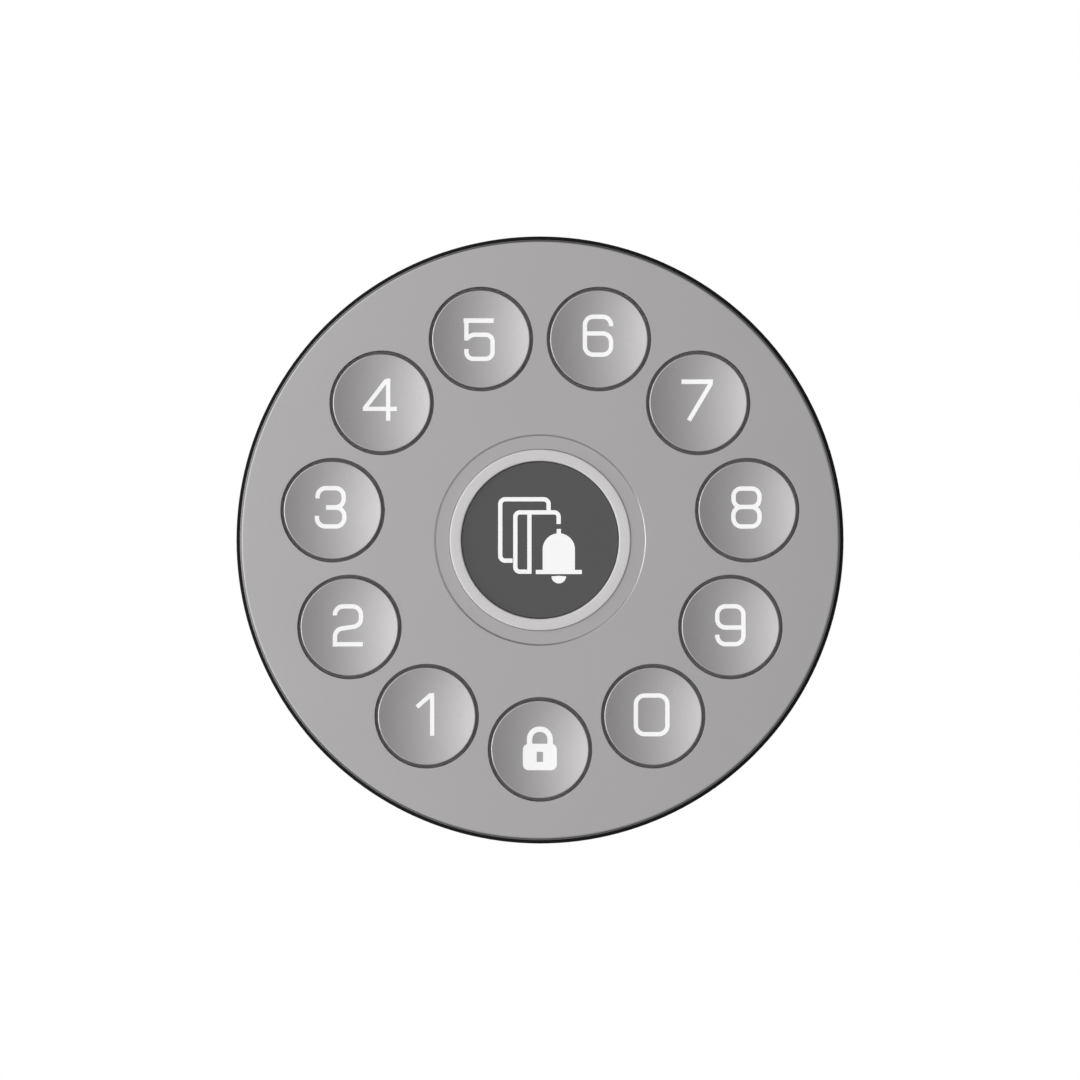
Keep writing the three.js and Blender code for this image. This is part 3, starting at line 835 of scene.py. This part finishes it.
@dataclass(frozen=True)
class Stroke:
    """A pen stroke along a line whose corners are rounded, or a closed loop of it."""

    points: tuple[Point, ...]
    radius: float = 0.0
    width: float = PEN
    closed: bool = False

    def shifted(self, right: float, up: float) -> "Stroke":
        """The same stroke, moved."""
        return replace(self, points=tuple((x + right, y + up) for x, y in self.points))

    def upside_down(self) -> "Stroke":
        """The same stroke, turned through half a turn."""
        return replace(self, points=tuple((-x, -y) for x, y in self.points))

    def outline(self) -> list[Vector]:
        """The line that the pen follows, with each corner as an arc.

        Returns:
            Points in order.
        """
        path = [Vector(point) for point in self.points]
        count = len(path)
        line = []
        for index, corner in enumerate(path):
            if not self.closed and index in (0, count - 1):
                line.append(corner)
                continue
            before = (path[index - 1] - corner).normalized()
            after = (path[(index + 1) % count] - corner).normalized()
            half = before.angle(after) / 2
            bisector = (before + after).normalized()
            centre = corner + bisector * (self.radius / math.sin(half))
            reach = self.radius / math.tan(half)
            start = corner + before * reach - centre
            sweep = start.angle_signed(corner + after * reach - centre)
            steps = max(2, round(abs(sweep) / ARC_STEP))
            for step in range(steps + 1):
                line.append(centre + Matrix.Rotation(-sweep * step / steps, 2) @ start)
        return line

    def shell(self, bottom: float, top: float) -> Shell:
        """Sweeps the pen's flat section along the line.

        Args:
            bottom: height of the shell's bottom.
            top: height of its top.

        Returns:
            A closed shell.
        """
        line = self.outline()
        path = line[:1] + [point for last, point in zip(line, line[1:]) if (point - last).length > NEAR]
        if self.closed and (path[0] - path[-1]).length < NEAR:
            path.pop()
        count = len(path)
        bm = bmesh.new()
        sections = []
        for index, point in enumerate(path):
            last = path[index - 1] if index or self.closed else point
            following = path[(index + 1) % count] if index < count - 1 or self.closed else point
            along = (following - last).normalized()
            turn = 1.0
            if last != point != following:
                turn = max(LEAST_TURN, math.cos((following - point).angle(point - last) / 2))
            side = Vector((-along.y, along.x)) * (self.width / 2 / turn)
            left, right = point + side, point - side
            corners = [(left, top), (right, top), (right, bottom), (left, bottom)]
            verts = [bm.verts.new((*place, height)) for place, height in corners]
            sections.append([bm.edges.new(pair) for pair in zip(verts, verts[1:] + verts[:1])])
        pairs = list(zip(sections, sections[1:]))
        if self.closed:
            pairs.append((sections[-1], sections[0]))
        for first, second in pairs:
            bmesh.ops.bridge_loops(bm, edges=first + second)
        if not self.closed:
            for ends in (sections[0], sections[-1]):
                bmesh.ops.contextual_create(bm, geom=ends)
        bmesh.ops.remove_doubles(bm, verts=bm.verts, dist=MERGE)
        bmesh.ops.recalc_face_normals(bm, faces=bm.faces)
        return bm


def loop(left: float, bottom: float, right: float, top: float, radius: float, width: float = PEN) -> Stroke:
    """A closed stroke round a box."""
    corners = ((left, bottom), (right, bottom), (right, top), (left, top))
    return Stroke(corners, radius, width, closed=True)


def bar(start: Point, stop: Point, width: float = PEN) -> Stroke:
    """A straight stroke."""
    return Stroke((start, stop), width=width)


# Half the width and height of a digit's line, where its uprights end, and how round its bowls are.
HALF_WIDE = 1.72
HALF_TALL = 2.49
END = HALF_TALL + 0.31
BOWL = 1.1

SIX = (
    Stroke(((HALF_WIDE, 1.25), (HALF_WIDE, HALF_TALL), (-HALF_WIDE, HALF_TALL), (-HALF_WIDE, -0.7)), BOWL),
    Stroke(((-HALF_WIDE, 0.0), (-HALF_WIDE, -HALF_TALL), (HALF_WIDE, -HALF_TALL), (HALF_WIDE, 0.3),
            (-1.5, 0.3)), BOWL),
)

# Each legend's strokes, about its own centre.
LEGENDS: dict[str, tuple[Stroke, ...]] = {
    "0": (loop(-2.07, -2.54, 2.07, 2.54, 1.15),),
    "1": (bar((0.75, END), (0.75, -END), THIN), bar((-1.24, 0.98), (0.6, 2.62), THIN)),
    "2": (
        Stroke(((-HALF_WIDE, 1.3), (-HALF_WIDE, HALF_TALL), (1.7, HALF_TALL), (1.7, -0.05),
                (-HALF_WIDE, -0.55), (-HALF_WIDE, -END)), BOWL),
        bar((-HALF_WIDE, -HALF_TALL), (1.95, -HALF_TALL)),
    ),
    "3": (
        Stroke(((-HALF_WIDE, 1.2), (-HALF_WIDE, 2.54), (1.72, 2.54), (1.72, 0.02), (-0.6, 0.02)), BOWL),
        Stroke(((-0.6, -0.02), (1.8, -0.02), (1.8, -HALF_TALL), (-1.8, -HALF_TALL), (-1.8, -1.1)), BOWL),
    ),
    "4": (
        bar((-2.2, -1.18), (2.26, -1.18), THIN),
        bar((1.12, END), (1.12, -END + 0.06)),
        bar((-1.9, -1.04), (0.9, 2.58), THIN),
    ),
    "5": (
        bar((-2.09, 2.53), (1.86, 2.53), 0.6),
        bar((-HALF_WIDE, END), (-HALF_WIDE, -0.08)),
        Stroke(((-HALF_WIDE, 0.2), (-0.9, 0.68), (HALF_WIDE, 0.68), (HALF_WIDE, -HALF_TALL),
                (-HALF_WIDE, -HALF_TALL), (-HALF_WIDE, -1.2)), 0.9),
    ),
    "6": SIX,
    "7": (
        bar((-2.12, HALF_TALL), (2.0, HALF_TALL), 0.6),
        bar((1.67, END), (1.67, 2.0)),
        bar((1.65, 2.12), (-1.15, -END + 0.2)),
    ),
    "8": (
        loop(-1.7, 0.08, 1.7, HALF_TALL, 1.0),
        loop(-HALF_WIDE, -HALF_TALL, HALF_WIDE, 0.08, BOWL),
    ),
    "9": tuple(stroke.upside_down() for stroke in SIX),
    "lock": (
        loop(-1.95, -2.5, 1.95, 0.4, 0.5),
        bar((-1.95, -1.05), (-0.42, -1.05), 3.2),
        bar((1.95, -1.05), (0.42, -1.05), 3.2),
        bar((-0.6, 0.05), (0.6, 0.05), 0.85),
        bar((-0.6, -2.15), (0.6, -2.15), 0.9),
        Stroke(((-1.35, 0.3), (-1.35, 2.6), (1.35, 2.6), (1.35, 0.3)), 1.3, 0.7),
    ),
}

# Where each legend sits on its key, to the right and up.
LEGEND_SHIFTS: dict[str, Point] = {
    "0": (-0.2, 0.17),
    "1": (-0.05, 0.21),
    "2": (-0.2, 0.22),
    "3": (-0.28, 0.36),
    "4": (-0.28, 0.4),
    "5": (-0.2, -0.1),
    "6": (-0.13, 0.45),
    "7": (-0.07, 0.29),
    "8": (-0.1, 0.35),
    "9": (-0.01, 0.23),
    "lock": (-0.02, 0.05),
}

# How far the bell is to the right of the pictogram's middle.
BELL_X = 2.47

# Two cards and a bell.
PICTOGRAM = (
    Stroke(((-3.6, -2.71), (-5.22, -2.71), (-5.22, 5.35), (1.13, 5.35), (1.13, 3.5)), 0.65, PICTOGRAM_PEN),
    Stroke(((2.45, 2.1), (2.45, 3.63), (-3.24, 3.63), (-3.24, -4.16), (-1.2, -4.16)), 0.6,
           PICTOGRAM_PEN),
    bar((-1.39, 3.7), (-1.39, -4.44), PICTOGRAM_PEN),
    bar((BELL_X, 1.45), (BELL_X, 0.4), PICTOGRAM_PEN),
    bar((BELL_X, -1.25), (BELL_X, -4.2), 4.24),
    loop(BELL_X - 1.06, -2.3, BELL_X + 1.06, -0.18, 1.05, 2.12),
    bar((-0.55, -4.2), (5.5, -4.2), 0.55),
    Stroke(((BELL_X - 0.48, -4.74), (BELL_X - 0.48, -5.22), (BELL_X + 0.48, -5.22), (BELL_X + 0.48, -4.74)),
           0.48, 0.96),
)


def printed(strokes: Iterable[Stroke], layer: Shell, bottom: float, top: float) -> Shell:
    """Cuts a legend out of a thin layer of ink.

    Args:
        strokes: the legend's strokes.
        layer: the ink's layer, which is used up.
        bottom: a height below the layer.
        top: a height above it.

    Returns:
        The printed legend.
    """
    pens = [
        stroke.shell(bottom - PEN_STEP * index, top + PEN_STEP * index)
        for index, stroke in enumerate(strokes)
    ]
    return combined(joined(pens), layer, Cut.COMMON)


def front_of(node: str) -> float:
    """Height of a node's front above the wall, in millimetres."""
    return -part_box(node)[0].y / MM


def back_of(node: str) -> float:
    """Height of a node's back above the wall, in millimetres."""
    return -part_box(node)[1].y / MM


def centre_of(node: str) -> Point:
    """Where a node's middle is on the face, in millimetres."""
    middle = sum(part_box(node), Vector()) / 2 / MM
    return middle.x, middle.z


HOUSING_SCREWS = tuple(f"housing_screw_{index}" for index in range(1, 6))


@dataclass
class Face:
    """The grey face, with a rounded lip at every key hole and a shallow step round the bell button."""

    radius: float = 39.43
    thickness: float = 2.0
    centre_hole: float = 11.95
    relief: float = 13.8
    relief_depth: float = 0.3
    key_hole: float = 6.85
    lip: float = 0.05
    edge: float = 0.42
    step_width: float = 0.2
    step_slope: float = 0.168
    step_edge: float = 0.02
    lip_steps: int = 4
    boss_radius: float = 1.9
    front: float = field(default_factory=lambda: front_of("face_plate"))

    def blank(self) -> Shell:
        """The face before its key holes are cut.

        Returns:
            A closed ring.
        """
        back = self.front - self.thickness
        floor = self.front - self.relief_depth
        bm = turned([
            (self.centre_hole, back), (self.radius, back), (self.radius, self.front),
            (self.relief + self.step_width / 2, self.front),
            (self.relief - self.step_width / 2, self.front - self.step_slope),
            (self.relief - self.step_width / 2, floor), (self.centre_hole, floor),
        ], Sides.BODY, closed=True)
        rim = self.radius - self.edge
        middle_height = self.front - self.thickness / 2
        soften(bm, self.edge, segments=4,
               where=lambda middle: middle.xy.length > rim and middle.z > middle_height)
        return soften(bm, self.step_edge, segments=2,
                      where=lambda middle: middle.xy.length < self.relief + CLEAR)

    def hole(self, centre: Point) -> Shell:
        """The tool for a key hole, which flares at the front to leave a rounded lip.

        Args:
            centre: the hole's centre.

        Returns:
            A closed shell.
        """
        straight = self.front - self.lip
        flare = [
            (self.key_hole + self.lip * (1 - math.cos(angle)), straight + self.lip * math.sin(angle))
            for angle in quarter_turn(self.lip_steps)
        ]
        below = self.front - 2 * self.thickness
        above = self.front + CLEAR
        outline = [(0, below), (self.key_hole, below), *flare, (self.key_hole + self.lip, above), (0, above)]
        return moved(turned(outline, Sides.KEY), *centre)

    def bosses(self) -> list[Shell]:
        """The screw bosses behind the face."""
        root = self.front - self.thickness + OVERLAP
        return rods_at(HOUSING_SCREWS, self.boss_radius, back_of("face_plate"), root)

    def build(self, keys: Iterable[str]) -> None:
        """Makes and places the face.

        Args:
            keys: names of the key nodes that it has holes for.
        """
        holes = joined(self.hole(centre_of(key)) for key in keys)
        face = combined(self.blank(), holes, Cut.OFF)
        shell = joined([face, *self.bosses()])
        Piece("face_panel", shell, FACE_PAINT, "face_finish", "unit", ("face_plate",)).place()


@dataclass
class Key:
    """A round key: flange, side, narrow rounded rim and dished top, with its legend."""

    name: str
    radius: float = 6.42
    rim: float = 0.13
    dish: float = 0.5
    flange_radius: float = 7.3
    flange: float = 0.5
    rim_steps: int = 5
    rim_blend: float = 0.03
    dish_steps: int = 14
    ink: float = 0.03
    ink_reach: float = 4.2
    ink_steps: int = 12

    def dished(self, radius: float, rise: float = 0.0) -> Point:
        """A point of the dish's outline, raised a little."""
        share = radius / (self.radius - self.rim)
        return radius, front_of(self.node) - self.dish * (1 - share * share) + rise

    @property
    def node(self) -> str:
        """The frame node of this key."""
        return f"key_{self.name}"

    def cap(self) -> Shell:
        """The cap about its own axis.

        Returns:
            A closed shell.
        """
        top = front_of(self.node)
        back = back_of(self.node)
        shoulder = back + self.flange
        inner = self.radius - self.rim
        rim = [
            (inner + self.rim * math.cos(angle), top - self.rim + self.rim * math.sin(angle))
            for angle in quarter_turn(self.rim_steps)
        ]
        shares = [step / self.dish_steps for step in range(self.dish_steps - 1, -1, -1)]
        return turned([
            (0, back), (self.flange_radius, back), (self.flange_radius, shoulder), (self.radius, shoulder),
            *rim, self.dished(inner - self.rim_blend), *(self.dished(inner * share) for share in shares),
        ], Sides.KEY)

    def legend(self) -> Shell:
        """The legend, printed on the dish.

        Returns:
            A closed shell.
        """
        radii = [self.ink_reach * step / self.ink_steps for step in range(self.ink_steps + 1)]
        under = [self.dished(radius, -self.ink) for radius in radii]
        over = [self.dished(radius, self.ink) for radius in reversed(radii)]
        strokes = [stroke.shifted(*LEGEND_SHIFTS[self.name]) for stroke in LEGENDS[self.name]]
        top = front_of(self.node)
        return printed(strokes, turned(under + over, Sides.KEY), top - CLEAR, top + CLEAR)

    def build(self) -> None:
        """Makes and places the cap and its legend."""
        centre = centre_of(self.node)
        middle = Vector(centre)
        painted = front_of(self.node) - 2 * self.rim

        def on_skirt(point: Vector) -> bool:
            """Whether a point is on the cap's side or flange."""
            return (point.xy - middle).length > self.radius - self.rim and point.z < painted

        cap = moved(self.cap(), *centre)
        Piece(f"keycap_{self.name}", cap, KEY_PAINT, "key_finish", self.node, (self.node,), on_skirt).place()
        legend = moved(self.legend(), *centre)
        Piece(f"legend_{self.name}", legend, INK, "legend_ink", self.node).place()


@dataclass
class BellButton:
    """The light guide, the smoked lens inside it and the printed pictogram."""

    bead_outer: float = 11.9
    bead_inner: float = 10.37
    ledge_inner: float = 9.6
    flange_radius: float = 13.0
    flange: float = 0.5
    ledge: float = 0.6
    bead_edge: float = 0.22
    lens_radius: float = 10.3
    lens_edge: float = 0.1
    ink: float = 0.03
    ink_reach: float = 9.0
    body: str = "bell_button"

    def guide(self) -> Shell:
        """The light guide: flange, ledge and a low flat bead with rounded shoulders.

        Returns:
            A closed ring.
        """
        back = back_of("light_ring")
        top = front_of("light_ring")
        shoulder = back + self.flange
        step = shoulder + self.ledge
        bm = turned([
            (self.ledge_inner, back), (self.flange_radius, back), (self.flange_radius, shoulder),
            (self.bead_outer, shoulder), (self.bead_outer, top), (self.bead_inner, top),
            (self.bead_inner, step), (self.ledge_inner, step),
        ], Sides.BELL, closed=True)
        return soften(bm, self.bead_edge, segments=4,
                      where=lambda middle: middle.z > top - self.bead_edge / 2)

    def lens(self) -> Shell:
        """The lens: a thin disc with a rounded edge.

        Returns:
            A closed shell.
        """
        back = back_of("centre_lens")
        top = front_of("centre_lens")
        disc = turned([(0, back), (self.lens_radius, back), (self.lens_radius, top), (0, top)], Sides.BELL)
        return soften(disc, self.lens_edge, segments=3)

    def build(self) -> None:
        """Makes and places the three pieces."""
        guide = self.guide()
        Piece("light_guide_ring", guide, MILKY_GUIDE, "light_guide", self.body, ("light_ring",)).place()
        Piece("bell_lens", self.lens(), SMOKED_LENS, "smoked_lens", self.body, ("centre_lens",)).place()
        top = front_of("centre_lens")
        layer = rod(self.ink_reach, top - self.ink, top + self.ink, sides=Sides.BELL)
        pictogram = printed(PICTOGRAM, layer, top - CLEAR, top + CLEAR)
        Piece("bell_pictogram", pictogram, INK, "legend_ink", self.body).place()


@dataclass
class PanScrew:
    """A pan head screw with a hexagonal socket. The head and the socket are a radius and a depth each."""

    node: str
    head: Pair = (1.9, 1.4)
    head_edge: float = 0.35
    shank: float = 1.0
    point: float = 0.6
    socket: Pair = (0.95, 0.7)

    def build(self) -> None:
        """Makes and places the screw."""
        back, tip = back_of(self.node), front_of(self.node)
        radius, height = self.head
        screw = turned([
            (0, back), (radius, back), (radius, back + height), (self.shank, back + height),
            (self.shank, tip - self.point), (0, tip),
        ], Sides.SCREW)
        soften(screw, self.head_edge, segments=4, where=lambda middle: middle.z < back + OVERLAP)
        width, depth = self.socket
        socket = rod(width, back - CLEAR, back + depth, sides=Sides.HEX)
        shell = moved(combined(screw, socket, Cut.OFF), *centre_of(self.node))
        Piece(f"{self.node}_fine", shell, ZINC_STEEL, "steel", "unit", (self.node,)).place()


@dataclass
class ClampScrew:
    """The radial screw that clamps the unit on its plate, with a socket of a radius and a depth."""

    level: float
    radius: float = 1.45
    edge: float = 0.15
    socket: Pair = (0.85, 1.5)

    def build(self) -> None:
        """Makes and places the screw."""
        low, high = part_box("clamp_screw")
        outside, inside = -low.z / MM, -high.z / MM
        outline = [(0, inside), (self.radius, inside), (self.radius, outside), (0, outside)]
        screw = soften(turned(outline, Sides.SCREW), self.edge, segments=3)
        width, depth = self.socket
        socket = rod(width, outside - depth, outside + CLEAR, sides=Sides.HEX)
        shell = laid(combined(screw, socket, Cut.OFF), self.level)
        Piece("clamp_screw_fine", shell, BLACK_STEEL, "black_steel", "unit", ("clamp_screw",)).place()


@dataclass
class Bayonet:
    """Where the lugs of the wall plate and of the housing are, in degrees."""

    lugs: tuple[float, ...] = (2, 122, 242)
    half: float = 10.0
    stop: Pair = (-13.2, -10.8)


@dataclass
class Housing:
    """The black cup behind the face, its seal and its screws.

    floor is its two heights, groove two radii and a depth, lug two radii and two heights, clamp_bore a
    radius and where the bore starts, and clamp_boss half its width and its two levels along Y.
    """

    bayonet: Bayonet
    radius: float = 40.0
    wall: float = 2.1
    floor: Pair = (5.6, 7.0)
    groove: tuple[float, float, float] = (38.5, 39.3, 0.8)
    lug: tuple[float, float, float, float] = (34.3, 38.4, 1.2, 2.9)
    rear_edge: float = 0.8
    front_edge: float = 0.08
    post_radius: float = 3.0
    post_gap: float = 0.3
    post_bore: float = 1.3
    head_clearance: float = 2.2
    tray_half: Pair = (17.85, 26.3)
    clamp_level: float = 3.2
    clamp_bore: Pair = (1.7, 33.0)
    clamp_boss: tuple[float, float, float] = (2.8, -38.6, -34.9)
    seal_gap: float = 0.15

    def cup(self) -> Shell:
        """The cup: floor, wall, seal groove and rounded edges.

        Returns:
            A closed shell.
        """
        rear = back_of("rear_housing")
        front = front_of("rear_housing")
        inner = self.radius - self.wall
        groove_in, groove_out, depth = self.groove
        below, above = self.floor
        bm = turned([
            (0, below), (inner, below), (inner, rear), (self.radius, rear), (self.radius, front),
            (groove_out, front), (groove_out, front - depth), (groove_in, front - depth), (groove_in, front),
            (inner, front), (inner, above), (0, above),
        ], Sides.BODY)
        side = self.radius - OVERLAP
        soften(bm, self.rear_edge, segments=5,
               where=lambda middle: middle.xy.length > side and middle.z < rear + CLEAR)
        return soften(bm, self.front_edge, segments=3,
                      where=lambda middle: middle.xy.length > side and middle.z > front - CLEAR)

    def inside(self) -> Shell:
        """The lugs, the screw posts and the boss for the clamp screw.

        Returns:
            Their shells in one.
        """
        inner, outer, bottom, top = self.lug
        half = self.bayonet.half
        lugs = [
            ring_sector(inner, outer, angle - half, angle + half, bottom, top)
            for angle in self.bayonet.lugs
        ]
        root = self.floor[0] + 2 * OVERLAP
        posts = rods_at(HOUSING_SCREWS, self.post_radius, root, back_of("face_plate") - self.post_gap)
        half_x, low_y, high_y = self.clamp_boss
        boss = block((-half_x, low_y, bottom), (half_x, high_y, root))
        return joined([*lugs, *posts, boss])

    def openings(self) -> Shell:
        """The tools for the screw heads, the clamp screw and the battery tray's window.

        Returns:
            Their shells in one.
        """
        below, above = self.floor
        heads = rods_at(HOUSING_SCREWS, self.head_clearance, below - CLEAR, above + OVERLAP)
        post_top = back_of("face_plate") + CLEAR
        bores = rods_at(HOUSING_SCREWS, self.post_bore, above - CLEAR / 2, post_top, Sides.BORE)
        radius, start = self.clamp_bore
        clamp = laid(rod(radius, start, self.radius + 2 * CLEAR), self.clamp_level)
        half_x, half_y = self.tray_half
        window = block((-half_x, -half_y, below - CLEAR), (half_x, half_y, above + CLEAR))
        return joined([*heads, *bores, clamp, window])

    def build(self) -> None:
        """Makes and places the housing, its seal and its screws."""
        solid = combined(self.cup(), self.inside(), Cut.WITH)
        shell = combined(solid, self.openings(), Cut.OFF)
        Piece("housing_shell", shell, HOUSING_BLACK, "black_plastic", "unit", ("rear_housing",)).place()
        gap = self.seal_gap
        inner, outer, _ = self.groove
        seal = flat_ring(inner + gap, outer - gap, back_of("face_seal"), front_of("face_seal"), gap)
        Piece("seal_ring", seal, SILICONE, "silicone", "unit", ("face_seal",)).place()
        for name in HOUSING_SCREWS:
            PanScrew(name).build()
        ClampScrew(self.clamp_level).build()


@dataclass
class WallPlate:
    """The plate on the wall: disc, rim, lugs, end stops, fixing holes, gasket and magnet cup.

    rim is two radii, lug two radii and a height, groove two radii and a depth, and the magnet's cup and
    pocket a radius and a height each.
    """

    bayonet: Bayonet
    rim: Pair = (32.0, 33.8)
    base: float = 2.0
    lug: tuple[float, float, float] = (33.0, 36.4, 3.2)
    groove: tuple[float, float, float] = (31.6, 33.2, 1.0)
    edge: float = 0.15
    stop_rise: float = 0.5
    gasket_gap: float = 0.2
    magnet_cup: Pair = (3.8, 2.2)
    magnet_pocket: Pair = (2.6, 3.0)
    fixing: float = 1.9
    head: float = 3.7
    head_depth: float = 0.9
    countersink: float = 0.3
    slot_length: float = 7.0
    slot_x: float = 26.0
    hole_y: float = 27.5
    body: str = "wall_mount"

    def plate(self) -> Shell:
        """The disc and its rim, with the gasket's groove in the back.

        Returns:
            A closed shell.
        """
        top = front_of("wall_plate")
        inner, outer = self.rim
        groove_in, groove_out, depth = self.groove
        bm = turned([
            (0, 0), (groove_in, 0), (groove_in, depth), (groove_out, depth), (groove_out, 0), (outer, 0),
            (outer, top), (inner, top), (inner, self.base), (0, self.base),
        ], Sides.BODY)
        return soften(bm, self.edge, segments=2)

    def lugs(self) -> list[Shell]:
        """The bayonet lugs and their end stops.

        Returns:
            Two sectors for each lug.
        """
        inner, outer, bottom = self.lug
        first, last = self.bayonet.stop
        top = front_of("wall_plate")
        rise = bottom + self.stop_rise
        shells = []
        for angle in self.bayonet.lugs:
            shells.append(ring_sector(inner, outer, angle + first, angle + self.bayonet.half, bottom, top))
            shells.append(ring_sector(inner, outer, angle + first, angle + last, self.base / 2, rise))
        return shells

    def slot(self, radius: float, length: float, bottom: float, x: float) -> Shell:
        """The tool for a slot along Y: a block with a rod at each end.

        Args:
            radius: half its width.
            length: its whole length.
            bottom: height of its bottom.
            x: how far to the right its middle is.

        Returns:
            Their shells in one.
        """
        half = length / 2 - radius
        top = self.base + CLEAR
        ends = [rod(radius, bottom, top, (x, side * half)) for side in (-1, 1)]
        middle = block((x - radius, -half, bottom - SLIVER), (x + radius, half, top + SLIVER))
        return joined([*ends, middle])

    def openings(self) -> Shell:
        """The tools for the slots, the countersunk holes and the magnet's pocket.

        Returns:
            Their shells in one.
        """
        top = self.base + CLEAR
        sink_top = self.base + OVERLAP / 2
        tools = []
        for side in (-1, 1):
            x, y = side * self.slot_x, side * self.hole_y
            tools.append(self.slot(self.fixing, self.slot_length, -CLEAR, x))
            tools.append(self.slot(self.head, self.slot_length + 2 * CLEAR, self.base - self.head_depth, x))
            tools.append(rod(self.fixing, -CLEAR, top, (0, y)))
            tools.append(rod(self.fixing, self.countersink, sink_top, (0, y), top_radius=self.head))
        radius, depth = self.magnet_pocket
        tools.append(rod(radius, self.base + SLIVER, self.base + depth, centre_of("tamper_magnet")))
        return joined(tools)

    def build(self) -> None:
        """Makes and places the plate and its gasket."""
        radius, height = self.magnet_cup
        cup = rod(radius, self.base / 2, self.base + height, centre_of("tamper_magnet"))
        solid = combined(self.plate(), joined([*self.lugs(), cup]), Cut.WITH)
        shell = combined(solid, self.openings(), Cut.OFF)
        Piece("plate_on_wall", shell, MOULDED_BLACK, "black_plastic", self.body, ("wall_plate",)).place()
        gap = self.gasket_gap
        inner, outer, _ = self.groove
        gasket = flat_ring(inner + gap, outer - gap, 0, front_of("wall_gasket"), gap)
        Piece("gasket_ring", gasket, FOAM, "foam", self.body, ("wall_gasket",)).place()


def dress_frame() -> None:
    """Gives every frame node that stays the finish of its material slot."""
    for row in frame["record"]["subparts"]:
        node = frame["nodes"][row["node"]]
        finish = SLOT_FINISHES[row["material_slot"]]
        node.data.materials.clear()
        node.data.materials.append(finish.material())
    log.info("dressed %d frame nodes", len(frame["nodes"]))


@dataclass
class Studio:
    """A pale floor, a soft light that falls off from left to right, and the camera."""

    lens_mm: float = 180.0
    sensor_mm: float = 36.0
    camera_distance: float = 0.7329
    floor_height: float = -0.6
    floor_size: float = 3.0
    far_clip: float = 20.0
    light: float = 0.97
    side_falloff: float = 2.2
    side_limit: float = 0.46
    side_return: float = 1.2
    strip_start: float = 0.8
    strip_gain: float = 27.0
    flag_start: float = 0.75
    flag_depth: float = 3.0
    flag_width: float = 0.15
    vertical_falloff: float = 0.55
    vertical_flag: float = 0.3
    tilt: float = 0.05

    def camera(self) -> None:
        """Makes the camera, level with the unit's axis and straight in front of it."""
        data = bpy.data.cameras.new("camera")
        data.lens = self.lens_mm
        data.sensor_width = self.sensor_mm
        data.clip_end = self.far_clip
        camera = bpy.data.objects.new("camera", data)
        camera.location = (0, -self.camera_distance, 0)
        camera.rotation_euler = (math.radians(90), 0, 0)
        bpy.context.scene.collection.objects.link(camera)
        bpy.context.scene.camera = camera

    def floor(self) -> None:
        """Makes the floor."""
        bm = bmesh.new()
        bmesh.ops.create_grid(bm, x_segments=2, y_segments=2, size=self.floor_size / 2)
        bmesh.ops.translate(bm, vec=(0, 0, self.floor_height), verts=bm.verts)
        mesh = bpy.data.meshes.new("floor")
        bm.to_mesh(mesh)
        bm.free()
        mesh.materials.append(PALE_FLOOR.material())
        floor = bpy.data.objects.new("floor", mesh)
        bpy.context.scene.collection.objects.link(floor)

    def light_room(self) -> None:
        """Lights the room.

        A camera sees plain white. The light itself falls off from left to right and towards the top and the
        bottom. A narrow bright strip far to the left picks out edges, and a dark flag far to the right holds
        them back.
        """
        world = bpy.data.worlds.new("studio")
        world.use_nodes = True
        bpy.context.scene.world = world
        room = Shader(world.node_tree)
        room.tree.nodes.clear()
        looking = room.wire("ShaderNodeTexCoord", output="Generated")
        direction = room.node("ShaderNodeSeparateXYZ", values={0: looking})
        across, _, up = (Wire(room.tree, output) for output in direction.outputs)
        held = across.between(-self.side_limit, self.side_limit)
        bent = held - (across - held) * self.side_return
        sideways = (bent * -self.side_falloff).exp()
        strip = (-across - self.strip_start).between(0.0, 1.0) * self.strip_gain
        flag = 1 - (across - self.flag_start).between(0.0, self.flag_width) * self.flag_depth
        steep = up * up
        upright = 1 - steep * self.vertical_falloff - steep * steep * self.vertical_flag - up * self.tilt
        level = (sideways * flag + strip) * upright * self.light
        glow = room.wire("ShaderNodeBackground", values={"Strength": level})
        white = room.wire("ShaderNodeBackground", values={"Color": (1, 1, 1, 1), "Strength": 1.0})
        seen = room.wire("ShaderNodeLightPath", output="Is Camera Ray")
        both = room.wire("ShaderNodeMixShader", values={0: seen, 1: glow, 2: white})
        room.node("ShaderNodeOutputWorld", values={"Surface": both})

    def build(self) -> None:
        """Makes the studio."""
        self.camera()
        self.floor()
        self.light_room()
        bpy.context.scene.view_settings.view_transform = "Standard"
        log.info("studio ready")


def main() -> None:
    """Builds every piece around the frame."""
    logging.basicConfig(level=logging.INFO, format="%(name)s: %(message)s")
    Studio().build()
    dress_frame()
    keys = list(LEGENDS)
    Face().build(f"key_{key}" for key in keys)
    for key in keys:
        Key(key).build()
    BellButton().build()
    bayonet = Bayonet()
    Housing(bayonet).build()
    WallPlate(bayonet).build()


if __name__ == "__main__":
    main()
